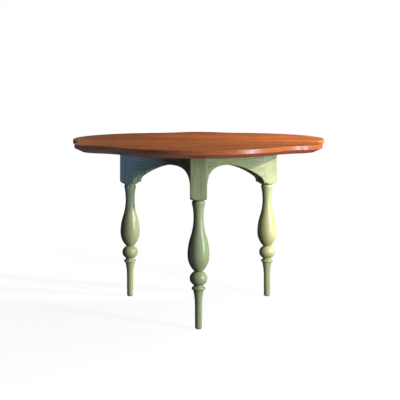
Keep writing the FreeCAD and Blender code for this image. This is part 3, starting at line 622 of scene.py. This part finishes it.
def top_section(s, thickness):
    """Stations from the middle of the upper face over the edge to the middle of the underside:
    share of the way from the axis, distance in from the edge, and height."""
    bevel_height = thickness - s["band_height"]
    slope = np.arctan2(bevel_height, s["bevel_width"])
    length = np.hypot(bevel_height, s["bevel_width"])
    flat = np.linspace(INNERMOST_SHARE, 1, FLAT_ROWS)
    upper_rim = s["arris"] + s["support"]
    lower_rim = s["bevel_width"] + s["support"]
    rows = [(share, upper_rim, thickness) for share in flat]
    rows += [
        (1, s["arris"] * (1 - np.sin(angle)), thickness - s["arris"] * (1 - np.cos(angle)))
        for angle in np.linspace(0, np.pi / 2, UPPER_ARRIS_ROWS)
    ]
    rows.append((1, 0, thickness - s["arris"] - s["support"]))
    rows.append((1, 0, bevel_height + s["lower_arris"] + s["support"]))
    for share in np.linspace(0, 1, LOWER_ARRIS_ROWS):
        down_band = bevel_height + s["lower_arris"] * (1 - share)
        along_bevel = s["lower_arris"] * share
        inward, down = along_bevel * np.cos(slope), along_bevel * np.sin(slope)
        rows.append((1, inward * share, down_band * (1 - share) + (bevel_height - down) * share))
    for reached in (s["support"] * 3, length - s["support"] * 2, length):
        rows.append((1, reached * np.cos(slope), bevel_height - reached * np.sin(slope)))
    rows.append((1, lower_rim, 0))
    rows += [(share, lower_rim, 0) for share in flat[-2::-1]]
    return np.array(rows)


board_names = sorted(name for name in nodes if name.startswith("top_board_"))
top_thickness = cad_box[1].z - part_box(board_names[0])[0].z
section_rows = top_section(TOP_SIZES, top_thickness / MM)
print(f"{len(section_rows)} stations over an edge of {top_thickness * 1000:.0f} mm")

# %% [markdown]
# ## The boards
# The real top is glued up from boards, cut to its outline afterwards and then routed. In Blender the
# boards could be modelled one by one, each with its share of the edge. It is easier to shape the
# whole top as one closed surface, and to saw it apart along straight planes afterwards. For a joiner
# that would be the wrong way round, but it gives boards that meet exactly.

# %% Boards


def sawn_board(name, whole, planes):
    """A copy of the whole top, cut at each (y, side) plane with what lies on that side removed."""
    sawing = bmesh.new()
    sawing.from_mesh(whole)
    for y, side in planes:
        made = bmesh.ops.bisect_plane(
            sawing, geom=sawing.verts[:] + sawing.edges[:] + sawing.faces[:],
            plane_co=(0, y, 0), plane_no=(0, side, 0), clear_outer=True,
        )
        rim = [part for part in made["geom_cut"] if isinstance(part, bmesh.types.BMEdge)]
        bmesh.ops.edgeloop_fill(sawing, edges=rim)
    mesh = bpy.data.meshes.new(name)
    sawing.to_mesh(mesh)
    sawing.free()
    mesh.set_sharp_from_angle(angle=np.radians(SHARP_DEGREES))
    return add_object(name, mesh)


inset_edge = edge[None] - edge_normal[None] * section_rows[:, 1, None, None]
plan = inset_edge * section_rows[:, 0, None, None]
lift = np.broadcast_to(section_rows[:, 2, None, None], plan.shape[:2] + (1,))
top_points = np.concatenate([plan, lift], axis=-1)[::-1] * MM
top_points[..., 2] += cad_box[1].z - top_thickness
flat_uv = np.zeros((len(top_points), len(edge) + 1))
whole_top = tube_mesh("whole_top", top_points, flat_uv, flat_uv)
board_width = (cad_box[1].y - cad_box[0].y) / len(board_names)
boards = []
for number, node in enumerate(board_names):
    low = cad_box[0].y + board_width * number
    planes = [(low, -1)] if number > 0 else []
    planes += [(low + board_width, 1)] if number < len(board_names) - 1 else []
    board = sawn_board(f"lacquered_board_{number + 1}", whole_top.data, planes)
    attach(board, "root")
    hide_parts(node)
    boards.append(board)
bpy.data.objects.remove(whole_top)
print(f"{len(boards)} boards, {sum(len(board.data.polygons) for board in boards)} faces")

# %% [markdown]
# ## Colours and nodes
# Paint makers and photographers write colours as sRGB hex values, and the renderer mixes light in
# linear values, so one function turns the first into the second. One more helper adds a shader
# node with its settings and its links. The nodes could be drawn by hand in the Shader Editor. Written
# down, they can be read from top to bottom, like a recipe.

# %% Colour and node helpers
MIX_FACTOR, MIX_A, MIX_B, MIX_RESULT = 0, 6, 7, 2
WHITE = "#ffffff"


def linear(hex_colour):
    """sRGB hex to linear: the curve's power of 2.4 above its toe, and a straight line below it."""
    srgb = np.array([int(hex_colour[i : i + 2], 16) for i in (1, 3, 5)]) / 255
    value = np.where(srgb <= 0.04045, srgb / 12.92, ((srgb + 0.055) / 1.055) ** 2.4)
    return (*value.tolist(), 1.0)


def add_node(tree, kind, inputs=None, **settings):
    """Adds a node: settings are its properties, and inputs are values or sockets to link from."""
    node = tree.nodes.new(f"ShaderNode{kind}")
    for name, value in settings.items():
        setattr(node, name, value)
    for key, value in (inputs or {}).items():
        if isinstance(value, bpy.types.NodeSocket):
            tree.links.new(value, node.inputs[key])
        else:
            node.inputs[key].default_value = value
    return node


def new_material(name):
    """An empty material and its node tree."""
    material = bpy.data.materials.new(name)
    material.use_nodes = True
    material.node_tree.nodes.clear()
    return material, material.node_tree


def give(material, *pieces):
    """The material goes into each piece's slot, or into all the slots that the piece has."""
    for piece in pieces:
        if piece.data.materials:
            for number in range(len(piece.data.materials)):
                piece.data.materials[number] = material
        else:
            piece.data.materials.append(material)


print("mid grey is", round(linear("#808080")[0], 3), "of white in linear light")

# %% [markdown]
# ## Sage paint: the brush marks
# The base is brushed with a satin oil paint, thinned so that the wood's grain still shows as fine
# lines. The brush follows the wood: up and down on the legs, level along the aprons. A picture of
# brushed paint could be wrapped round each piece, but it would repeat and show its seams. So the
# marks are noise, drawn out along the UV map that each piece brought with it. Two noises make them:
# bristle marks about a millimetre apart, and the grain under the paint. The turned parts were sanded
# smooth on the lathe, so there the marks fade to a quarter.

# %% Brush marks
BRISTLE_SPACING_MM = 1.6  # twice as coarse as the real marks, which are too fine to show
BRISTLE_LENGTH_MM = 90
GRAIN_SPACING_MM = 6.5
GRAIN_LENGTH_MM = 240
TURNED_TOP = LEG_SIZES["shoulder_foot_height"] * MM
FADE_HEIGHT = 20 * MM
MARKS_ON_TURNING = 0.25

paint, tree = new_material("sage_satin_paint")
uv = add_node(tree, "UVMap", uv_map="brush").outputs[0]
marks = {}
for mark, spacing_mm, length_mm, detail in (
    ("bristles", BRISTLE_SPACING_MM, BRISTLE_LENGTH_MM, 2.0),
    ("grain", GRAIN_SPACING_MM, GRAIN_LENGTH_MM, 3.0),
):
    stretch = (1 / (spacing_mm * MM), 1 / (length_mm * MM), 1)
    drawn_out = add_node(tree, "Mapping", {"Vector": uv, "Scale": stretch}).outputs[0]
    noise = add_node(tree, "TexNoise", {"Vector": drawn_out, "Scale": 1.0, "Detail": detail})
    marks[mark] = noise.outputs["Fac"]
place = add_node(tree, "TexCoord").outputs["Object"]
up = add_node(tree, "SeparateXYZ", {0: place}).outputs[2]
strength = add_node(
    tree, "MapRange",
    {"Value": up, "From Min": TURNED_TOP, "From Max": TURNED_TOP + FADE_HEIGHT,
     "To Min": MARKS_ON_TURNING, "To Max": 1.0},
).outputs[0]
print(f"marks every {BRISTLE_SPACING_MM} mm over grain every {GRAIN_SPACING_MM} mm")

# %% [markdown]
# ## Sage paint: the colour
# A brushed coat is never one green. It is thick and pale where a bristle leaves a ridge, thin and
# dark where it runs over the hard lines of the grain, and a little uneven over the width of a hand.
# The differences could be painted on by hand. Here each of the noises mixes in its own tone, so the
# colour and the brush marks always agree.

# %% Paint colour
PAINT = "#9ba26e"
PAINT_THICK = "#aeb284"
PAINT_THIN = "#798354"
CLOUD_SIZE_MM = 70

paint_colour = linear(PAINT)
for mark, tone, least, most in (("bristles", PAINT_THICK, 0.48, 0.7), ("grain", PAINT_THIN, 0.5, 0.66)):
    share = add_node(
        tree, "MapRange", {"Value": marks[mark], "From Min": least, "From Max": most, "To Max": strength}
    ).outputs[0]
    paint_colour = add_node(
        tree, "Mix", {MIX_FACTOR: share, MIX_A: paint_colour, MIX_B: linear(tone)}, data_type="RGBA"
    ).outputs[MIX_RESULT]
clouds = add_node(
    tree, "TexNoise", {"Vector": place, "Scale": 1 / (CLOUD_SIZE_MM * MM), "Detail": 2.0}
).outputs["Fac"]
cloud_level = add_node(
    tree, "MapRange", {"Value": clouds, "From Min": 0.3, "From Max": 0.7, "To Min": 0.92, "To Max": 1.06}
).outputs[0]
paint_colour = add_node(
    tree, "Mix", {MIX_FACTOR: 1.0, MIX_A: paint_colour, MIX_B: cloud_level},
    data_type="RGBA", blend_type="MULTIPLY",
).outputs[MIX_RESULT]
print(f"paint {PAINT}, from {PAINT_THIN} to {PAINT_THICK}")

# %% [markdown]
# ## Sage paint: the sheen
# Satin oil paint dries to a soft skin: its highlights are long and clear on the turnings, but their
# edges are blurred, and the ridges of the brush break them up. A constant gloss could give that. In
# an all-white room, though, every surface seen at a slant mirrors the white walls and goes grey. So
# the mirror's strength falls off as the surface turns away from the eye. Real paint does the
# opposite, but real rooms are darker than this one.

# %% Paint sheen
RELIEF_MM = 0.25

relief = add_node(tree, "Math", {0: marks["bristles"], 1: marks["grain"]}, operation="ADD").outputs[0]
bump = add_node(tree, "Bump", {"Height": relief, "Strength": 0.35, "Distance": RELIEF_MM * MM}).outputs[0]
roughness = add_node(
    tree, "MapRange",
    {"Value": marks["bristles"], "From Min": 0.3, "From Max": 0.7, "To Min": 0.24, "To Max": 0.31},
).outputs[0]
facing = add_node(tree, "LayerWeight", {"Blend": 0.5}).outputs["Facing"]
sheen = add_node(
    tree, "MapRange", {"Value": facing, "From Min": 0.15, "From Max": 0.42, "To Min": 0.34, "To Max": 0.0}
).outputs[0]
shader = add_node(
    tree, "BsdfPrincipled",
    {"Base Color": paint_colour, "Roughness": roughness, "Normal": bump, "Specular IOR Level": sheen},
)
add_node(tree, "OutputMaterial", {"Surface": shader.outputs[0]})
give(paint, *painted)
print(f"{paint.name} on {len(painted)} pieces")

# %% [markdown]
# ## Lacquered cherry: a log for each board
# The top is glued up from boards that lie side by side, stained red-brown and lacquered. Wood looks
# like wood because it is a solid pattern, cut by the saw. A picture of wood laid on the top would
# have to be fitted again at every edge. So the colour is worked out in space, and the edges come out
# right by themselves. Each board is sawn from a log of its own: its number comes from its place
# across the top, and white noise turns that number into three chances, for the place of the pith,
# for its slope, and for how dark the board is.

# %% Cherry boards
cherry, tree = new_material("lacquered_cherry")
place = add_node(tree, "TexCoord").outputs["Object"]
along, side, up = add_node(tree, "SeparateXYZ", {0: place}).outputs
boards_across = add_node(
    tree, "Math", {0: side, 1: 1 / board_width, 2: -cad_box[0].y / board_width}, operation="MULTIPLY_ADD"
).outputs[0]
board_number = add_node(tree, "Math", {0: boards_across}, operation="FLOOR").outputs[0]
within = add_node(tree, "Math", {0: boards_across}, operation="FRACT").outputs[0]
across = add_node(
    tree, "Math", {0: within, 1: board_width, 2: -board_width / 2}, operation="MULTIPLY_ADD"
).outputs[0]
chance = add_node(tree, "TexWhiteNoise", {"W": board_number}, noise_dimensions="1D").outputs["Color"]
chances = add_node(tree, "SeparateColor", {0: chance}).outputs
print(f"boards of {board_width * 1000:.1f} mm")

# %% [markdown]
# ## Lacquered cherry: the growth rings
# A board shows arches where the saw cuts the rings at a shallow angle, and end grain at its ends.
# Wave Texture has rings too, but they would be the same in every board. Here the rings are cylinders
# round the board's own pith, a line a little below the board and not quite parallel to it. The ring
# at a point is its distance from that line, divided by the ring spacing. Two noises bend the rings:
# a slow wander, as the tree grew, and a small tremble that runs along the fibres.

# %% Growth rings
RING_SPACING_MM = 7  # about twice as wide as real rings, which are too fine to show
RING_TREMBLE = 0.9  # rings
PITH_DEPTH_MM = 55
PITH_SHIFT_MM = 70
PITH_SLOPE = 0.055
LOG_STEP = 3.7  # metres along the noise from one board to the next
GRAIN_SQUEEZE = 2.5
WANDER_SCALE = 2.2  # bends about 450 mm long
WANDER_SIDEWAYS_MM = 30
WANDER_DOWN_MM = 50
TREMBLE_SCALE = (6, 40, 40)  # bends about 170 mm long and 25 mm wide
top_height = cad_box[1].z

own_log = add_node(tree, "Math", {0: board_number, 1: LOG_STEP, 2: along}, operation="MULTIPLY_ADD")
squeezed = add_node(tree, "Math", {0: across, 1: GRAIN_SQUEEZE}, operation="MULTIPLY").outputs[0]
log_place = add_node(tree, "CombineXYZ", {0: own_log.outputs[0], 1: squeezed, 2: up}).outputs[0]
wander = add_node(
    tree, "TexNoise", {"Vector": log_place, "Scale": WANDER_SCALE, "Detail": 2.0}
).outputs["Fac"]
fibres = add_node(tree, "Mapping", {"Vector": log_place, "Scale": TREMBLE_SCALE}).outputs[0]
tremble = add_node(tree, "TexNoise", {"Vector": fibres, "Scale": 1.0, "Detail": 3.0}).outputs["Fac"]

slope = add_node(
    tree, "Math", {0: chances[1], 1: 2 * PITH_SLOPE, 2: -PITH_SLOPE}, operation="MULTIPLY_ADD"
).outputs[0]
depth = add_node(tree, "Math", {0: along, 1: slope, 2: up}, operation="MULTIPLY_ADD").outputs[0]
depth = add_node(tree, "Math", {0: wander, 1: WANDER_DOWN_MM * MM, 2: depth}, operation="MULTIPLY_ADD")
aside = add_node(
    tree, "Math", {0: chances[0], 1: PITH_SHIFT_MM * MM, 2: across}, operation="MULTIPLY_ADD"
).outputs[0]
aside = add_node(tree, "Math", {0: wander, 1: WANDER_SIDEWAYS_MM * MM, 2: aside}, operation="MULTIPLY_ADD")
# chances and noises lie round a half, which is taken off here for all of them
middle_aside = -(PITH_SHIFT_MM + WANDER_SIDEWAYS_MM) / 2 * MM
middle_depth = (PITH_DEPTH_MM - WANDER_DOWN_MM / 2) * MM - top_height
from_pith = add_node(tree, "CombineXYZ", {1: aside.outputs[0], 2: depth.outputs[0]}).outputs[0]
from_pith = add_node(
    tree, "VectorMath", {0: from_pith, 1: (0, middle_aside, middle_depth)}, operation="ADD"
).outputs[0]
distance = add_node(tree, "VectorMath", {0: from_pith}, operation="LENGTH").outputs["Value"]
shaken = add_node(
    tree, "Math", {0: tremble, 1: RING_TREMBLE, 2: -RING_TREMBLE / 2}, operation="MULTIPLY_ADD"
).outputs[0]
rings = add_node(
    tree, "Math", {0: distance, 1: 1 / (RING_SPACING_MM * MM), 2: shaken}, operation="MULTIPLY_ADD"
).outputs[0]
ring = add_node(tree, "Math", {0: rings}, operation="FRACT").outputs[0]
print(f"rings every {RING_SPACING_MM} mm, round a pith {PITH_DEPTH_MM} mm down")

# %% [markdown]
# ## Lacquered cherry: stain, pores and edge
# Each ring ends in a dark line of late wood. Stain soaks in unevenly, in streaks as long as the
# board, and the pores are short dark dashes. The routed edge cuts across the fibres, drinks more
# stain and turns an even red-brown. Separate maps could hold all this. Noises drawn out along the
# board do it without any, and each one mixes in one tone.

# %% Cherry colour
CHERRY = "#ac5c2c"
CHERRY_LIGHT = "#cb7a3f"
CHERRY_LATE_WOOD = "#843d1a"
CHERRY_EDGE = "#a9532a"
PORE_SPACING_MM = 1.6  # real pores are a tenth of that, too fine to show
PORE_LENGTH_MM = 45
STREAK_WIDTH_MM = 26
STREAK_LENGTH_MM = 700
EDGE_TOP = top_height - 1.5 * MM
EDGE_STAINED = top_height - 4 * MM

patterns = {}
for pattern, where, length_mm, width_mm, detail in (
    ("pores", place, PORE_LENGTH_MM, PORE_SPACING_MM, 2.0),
    ("streaks", log_place, STREAK_LENGTH_MM, STREAK_WIDTH_MM, 3.0),
):
    stretch = (1 / (length_mm * MM), 1 / (width_mm * MM), 1 / (width_mm * MM))
    drawn_out = add_node(tree, "Mapping", {"Vector": where, "Scale": stretch}).outputs[0]
    noise = add_node(tree, "TexNoise", {"Vector": drawn_out, "Scale": 1.0, "Detail": detail})
    patterns[pattern] = noise.outputs["Fac"]
pale = {"Value": patterns["streaks"], "From Min": 0.38, "From Max": 0.64}
late = {"Value": ring, "From Min": 0.4, "From Max": 0.96, "To Max": 0.85}
open_pores = {"Value": patterns["pores"], "From Min": 0.5, "From Max": 0.68, "To Min": 1.0, "To Max": 0.72}
own_level = {"Value": chances[2], "To Min": 0.8, "To Max": 1.2}
routed = {"Value": up, "From Min": EDGE_TOP, "From Max": EDGE_STAINED, "To Max": 0.65}
pale, late, open_pores, own_level, routed = (
    add_node(tree, "MapRange", limits).outputs[0] for limits in (pale, late, open_pores, own_level, routed)
)
level = add_node(tree, "Math", {0: open_pores, 1: own_level}, operation="MULTIPLY").outputs[0]
cherry_colour = linear(CHERRY)
for share, tone, blend in (
    (pale, linear(CHERRY_LIGHT), "MIX"),
    (late, linear(CHERRY_LATE_WOOD), "MIX"),
    (1.0, level, "MULTIPLY"),
    (routed, linear(CHERRY_EDGE), "MIX"),
):
    cherry_colour = add_node(
        tree, "Mix", {MIX_FACTOR: share, MIX_A: cherry_colour, MIX_B: tone},
        data_type="RGBA", blend_type=blend,
    ).outputs[MIX_RESULT]
print(f"cherry {CHERRY}, from {CHERRY_LATE_WOOD} to {CHERRY_LIGHT}")

# %% [markdown]
# ## Lacquered cherry: the lacquer
# Clear lacquer lies over the wood as a film of its own: it mirrors the room, and it deepens the
# colour under it. The wood's own shader could be made glossy, but then the light would not pass
# through a film. Principled BSDF has a coat for this. The lacquer was rubbed down to a satin finish,
# so its highlights are soft, and they fade towards slanting views as the paint's do. The open
# pores show in it as tiny dents.

# %% Lacquer
PORE_DENT_MM = 0.1

facing = add_node(tree, "LayerWeight", {"Blend": 0.5}).outputs["Facing"]
coat = add_node(
    tree, "MapRange", {"Value": facing, "From Min": 0.32, "From Max": 0.85, "To Min": 0.58, "To Max": 0.048}
).outputs[0]
dents = {"Height": patterns["pores"], "Strength": 0.08, "Distance": PORE_DENT_MM * MM}
bump = add_node(tree, "Bump", dents).outputs[0]
shader = add_node(
    tree, "BsdfPrincipled",
    {"Base Color": cherry_colour, "Roughness": 0.45, "Specular IOR Level": 0.0, "Coat Weight": coat,
     "Coat Roughness": 0.29, "Coat IOR": 1.5, "Coat Normal": bump},
)
add_node(tree, "OutputMaterial", {"Surface": shader.outputs[0]})
give(cherry, *boards)
print(f"{cherry.name} on {len(boards)} boards")

# %% [markdown]
# ## Bare wood
# The corner blocks are planed softwood and the dowels are turned beech, both left bare, because
# nobody sees them from a chair. Planed wood is matt and shows its rings as soft bands. The cherry's
# rings could be used again, but for such small pieces a noise stretched along the fibres is enough:
# one function, with the real ring width and the direction of the fibres, serves both.

# %% Bare wood
BARE_RELIEF_MM = 0.2


def bare_wood(name, light, dark, ring_mm, fibre_scale):
    """Noise of the rings' width, stretched by fibre_scale along the fibres, mixes light and dark."""
    material, tree = new_material(name)
    place = add_node(tree, "TexCoord").outputs["Object"]
    drawn_out = add_node(tree, "Mapping", {"Vector": place, "Scale": fibre_scale}).outputs[0]
    rings = add_node(
        tree, "TexNoise", {"Vector": drawn_out, "Scale": 1 / (ring_mm * MM), "Detail": 3.0}
    ).outputs["Fac"]
    share = add_node(tree, "MapRange", {"Value": rings, "From Min": 0.4, "From Max": 0.65}).outputs[0]
    colour = add_node(
        tree, "Mix", {MIX_FACTOR: share, MIX_A: linear(light), MIX_B: linear(dark)}, data_type="RGBA"
    ).outputs[MIX_RESULT]
    relief = {"Height": rings, "Strength": 0.2, "Distance": BARE_RELIEF_MM * MM}
    bump = add_node(tree, "Bump", relief).outputs[0]
    shader = add_node(tree, "BsdfPrincipled", {"Base Color": colour, "Roughness": 0.62, "Normal": bump})
    add_node(tree, "OutputMaterial", {"Surface": shader.outputs[0]})
    return material


# the pine's two tones are darker than fresh planed pine: painted shade, because the blocks lie in the
# shadow under the aprons
shade_darkened_pine = bare_wood("shade_darkened_planed_pine", "#8f7048", "#6f5230", 6, (1, 1, 0.05))
beech = bare_wood("turned_beech", "#d9b98f", "#c69f72", 2, (1, 0.05, 1))
blocks = [name for name in nodes if name.startswith("corner_block_") and "screws" not in name]
give(shade_darkened_pine, *[nodes[name] for name in blocks])
give(beech, nodes["board_dowels"])
print(f"{shade_darkened_pine.name} on {len(blocks)} blocks, {beech.name} on the dowels")

# %% [markdown]
# ## Plated steel
# The screws are steel with a thin zinc coat, the figure-eight plates are pressed from sheet and
# plated as well, and the nails are bright drawn wire. A metal gets its looks from what it mirrors,
# so its colour is only a tint, and its life comes from roughness that changes in small patches where
# the zinc has dulled. A worn edge could be added too, but these pieces are hidden and unworn.

# %% Steel


def plated_steel(name, colour, dulled, patch_mm, least_roughness, most_roughness):
    """Noise of the patches' size mixes two tints, and runs between the two roughnesses."""
    material, tree = new_material(name)
    place = add_node(tree, "TexCoord").outputs["Object"]
    patches = add_node(
        tree, "TexNoise", {"Vector": place, "Scale": 1 / (patch_mm * MM), "Detail": 3.0}
    ).outputs["Fac"]
    share = add_node(tree, "MapRange", {"Value": patches, "From Min": 0.35, "From Max": 0.7}).outputs[0]
    mixed = add_node(
        tree, "Mix", {MIX_FACTOR: share, MIX_A: linear(colour), MIX_B: linear(dulled)}, data_type="RGBA"
    ).outputs[MIX_RESULT]
    roughness = add_node(
        tree, "MapRange", {"Value": patches, "To Min": least_roughness, "To Max": most_roughness}
    ).outputs[0]
    shader = add_node(
        tree, "BsdfPrincipled", {"Base Color": mixed, "Roughness": roughness, "Metallic": 1.0}
    )
    add_node(tree, "OutputMaterial", {"Surface": shader.outputs[0]})
    return material


zinc = plated_steel("zinc_plated_steel", "#c9c6bb", "#a9a69b", 3, 0.28, 0.45)
pressed = plated_steel("pressed_zinc_steel", "#c4bfae", "#9f9a8b", 5, 0.32, 0.5)
wire = plated_steel("bright_nail_wire", "#b9bbbe", "#97999c", 2, 0.2, 0.35)
give(zinc, nodes["corner_block_screws"], nodes["fastener_apron_screws"], nodes["fastener_top_screws"])
give(pressed, nodes["top_fasteners"])
give(wire, nodes["glide_nails"])
print(zinc.name, pressed.name, wire.name)

# %% [markdown]
# ## Nylon
# The glides under the feet are moulded nylon, dark brown, with the slightly pebbled skin that the
# mould gave them. A plain plastic shader would look like polished glass at this size. A fine noise
# moves the colour a little and dents the surface, and the even roughness is that of moulded skin.

# %% Nylon
NYLON_DARK = "#3a2c22"
NYLON_PALE = "#564334"
PEBBLE_MM = 0.8
PEBBLE_DEPTH_MM = 0.1

nylon, tree = new_material("moulded_nylon")
place = add_node(tree, "TexCoord").outputs["Object"]
pebbles = add_node(
    tree, "TexNoise", {"Vector": place, "Scale": 1 / (PEBBLE_MM * MM), "Detail": 2.0}
).outputs["Fac"]
nylon_colour = add_node(
    tree, "Mix", {MIX_FACTOR: pebbles, MIX_A: linear(NYLON_DARK), MIX_B: linear(NYLON_PALE)},
    data_type="RGBA",
).outputs[MIX_RESULT]
dents = {"Height": pebbles, "Strength": 0.3, "Distance": PEBBLE_DEPTH_MM * MM}
bump = add_node(tree, "Bump", dents).outputs[0]
shader = add_node(
    tree, "BsdfPrincipled", {"Base Color": nylon_colour, "Roughness": 0.5, "Normal": bump, "IOR": 1.53}
)
add_node(tree, "OutputMaterial", {"Surface": shader.outputs[0]})
glides = [name for name in nodes if name.startswith("foot_glide_")]
give(nylon, *[nodes[name] for name in glides])
print(f"{nylon.name} on {len(glides)} glides")

# %% [markdown]
# ## Floor and background
# The table stands in a plain white studio. More lamps would make its floor white, but would bleach
# the table too. So to the camera, the floor shines by itself almost enough to be white, and the
# little light that it reflects brings it up to white everywhere but under the table, where the
# shadow stays as a faint grey. Light Path tells the rays apart: those from the camera, and those
# that come by way of a glossy or clear surface, meet the white floor and the white world. All
# others meet a plain grey floor and a dim world, so that neither lights the table.

# %% Floor and world
FLOOR_HALF = 30.0
FLOOR_DROP = 0.3 * MM
FLOOR_GREY = "#666666"
SHADOW_CATCHER = "#696969"
NEAR_SHINE = 0.9
SHINE_STARTS, SHINE_ENDS = 0.6, 3.0
AMBIENT_COLOUR = "#dfe4ea"
AMBIENT_STRENGTH = 0.03


def seen_directly(tree):
    """1 for rays from the camera, a mirror-like surface or a clear one, and 0 for the others: the
    largest of Light Path's three flags."""
    path = add_node(tree, "LightPath").outputs
    by_surface = add_node(
        tree, "Math", {0: path["Is Glossy Ray"], 1: path["Is Transmission Ray"]}, operation="MAXIMUM"
    ).outputs[0]
    return add_node(
        tree, "Math", {0: path["Is Camera Ray"], 1: by_surface}, operation="MAXIMUM"
    ).outputs[0]


studio_floor, tree = new_material("studio_floor")
plain = add_node(tree, "BsdfDiffuse", {"Color": linear(FLOOR_GREY)}).outputs[0]
catcher = add_node(tree, "BsdfDiffuse", {"Color": linear(SHADOW_CATCHER)}).outputs[0]
place = add_node(tree, "TexCoord").outputs["Object"]
reach = add_node(tree, "VectorMath", {0: place}, operation="LENGTH").outputs["Value"]
shine = add_node(
    tree, "MapRange",
    {"Value": reach, "From Min": SHINE_STARTS, "From Max": SHINE_ENDS, "To Min": NEAR_SHINE, "To Max": 1.0},
).outputs[0]
glow = add_node(tree, "Emission", {"Color": linear(WHITE), "Strength": shine}).outputs[0]
shining = add_node(tree, "AddShader", {0: catcher, 1: glow}).outputs[0]
mixed = add_node(tree, "MixShader", {0: seen_directly(tree), 1: plain, 2: shining}).outputs[0]
add_node(tree, "OutputMaterial", {"Surface": mixed})

floor_mesh = bpy.data.meshes.new("floor")
floor_corners = [
    (x * FLOOR_HALF, y * FLOOR_HALF, -FLOOR_DROP) for x, y in ((-1, -1), (1, -1), (1, 1), (-1, 1))
]
floor_mesh.from_pydata(floor_corners, [], [(0, 1, 2, 3)])
floor = add_object("floor", floor_mesh)
give(studio_floor, floor)

world = bpy.data.worlds.new("studio")
bpy.context.scene.world = world
world.use_nodes = True
tree = world.node_tree
tree.nodes.clear()
ambient = add_node(
    tree, "Background", {"Color": linear(AMBIENT_COLOUR), "Strength": AMBIENT_STRENGTH}
).outputs[0]
white = add_node(tree, "Background", {"Color": linear(WHITE), "Strength": 1.0}).outputs[0]
sky = add_node(tree, "MixShader", {0: seen_directly(tree), 1: ambient, 2: white}).outputs[0]
add_node(tree, "OutputWorld", {"Surface": sky})
bpy.context.scene.view_settings.view_transform = "Standard"
print(f"floor of {2 * FLOOR_HALF:.0f} m, {FLOOR_DROP * 1000:.1f} mm under the glides")

# %% [markdown]
# ## Light
# The light comes mostly from the right front. A narrow bright strip gives the turnings their long
# highlights, and a broad soft panel beside it fills them out. One more panel hangs over the right
# half of the top, and one stands behind. The shaded side is cool: a weak blue panel from the left,
# left out of reflections, because it would lie as a blue patch on the lacquer, and a narrow blue lamp
# on the left post. A hard lamp from the right slips under the top and draws its edge across the
# right post, and a small warm one lights the right leg. A picture of a studio could light the scene
# instead, but lamps can be changed one at a time until each patch of the table has its brightness.

# %% Lamps
LAMP_AIM = (0, 0, 0.5)
PANELS = (  # name, azimuth and elevation in degrees, distance, width, height, colour, radiance
    ("right_front_panel", -32, 12, 2.8, 1.4, 1.9, "#eef4ff", 2.8),
    ("right_front_strip", -35, 12, 2.7, 0.3, 1.9, "#d9e8ff", 54.0),
    ("right_upper_panel", 0, 45, 2.0, 1.2, 1.2, "#fffaf0", 5.5),
    ("left_panel", 200, 8, 2.8, 1.2, 1.4, "#4c92ff", 0.7),
    ("back_panel", 120, 18, 3.2, 1.6, 1.6, WHITE, 2.0),
)
SPOTS = (  # name, aim, azimuth and elevation, distance, colour, watts, cone in degrees, blend, radius
    ("left_spot", (-0.35, 0.2, 0.66), 266, -4, 3.0, "#2a78ff", 340, 6.2, 0.9, 0.15),
    ("right_spot", (0.33, 0.2, 0.56), -17, 21, 3.0, "#ffe9f6", 560, 15, 0.5, 0.03),
    ("right_leg_spot", (0.29, 0.17, 0.27), -50, 14, 3.0, "#ffba30", 150, 9.5, 0.6, 0.15),
)


def stand_lamp(data, aim, azimuth, elevation, distance, colour):
    """A lamp at aim plus distance times (cosines and sines of azimuth and elevation), facing aim."""
    data.color = linear(colour)[:3]
    turn, lift = np.radians(azimuth), np.radians(elevation)
    direction = Vector((np.cos(turn) * np.cos(lift), np.sin(turn) * np.cos(lift), np.sin(lift)))
    lamp = add_object(data.name, data)
    lamp.location = Vector(aim) + direction * distance
    lamp.rotation_euler = direction.to_track_quat("Z", "Y").to_euler()
    return lamp


for name, azimuth, elevation, distance, width, height, colour, radiance in PANELS:
    data = bpy.data.lights.new(name, "AREA")
    data.shape = "RECTANGLE"
    data.size, data.size_y = width, height
    # a panel's power is its radiance times pi times its area
    data.energy = radiance * np.pi * width * height
    lamp = stand_lamp(data, LAMP_AIM, azimuth, elevation, distance, colour)
    lamp.visible_glossy = name != "left_panel"
for name, aim, azimuth, elevation, distance, colour, watts, cone_degrees, blend, radius in SPOTS:
    data = bpy.data.lights.new(name, "SPOT")
    data.energy = watts
    data.spot_size = np.radians(cone_degrees)
    data.spot_blend = blend
    data.shadow_soft_size = radius
    stand_lamp(data, aim, azimuth, elevation, distance, colour)
print(f"{len(PANELS)} panels and {len(SPOTS)} spots")

# %% [markdown]
# ## Measure and finish
# A table has to keep its real size, however fine its surfaces are. It could be checked by eye in the
# viewport. The frame's box, kept from the start, says it exactly, and it is printed at the end.

# %% Measure and finish
print("cad box", [tuple(corner) for corner in cad_box])
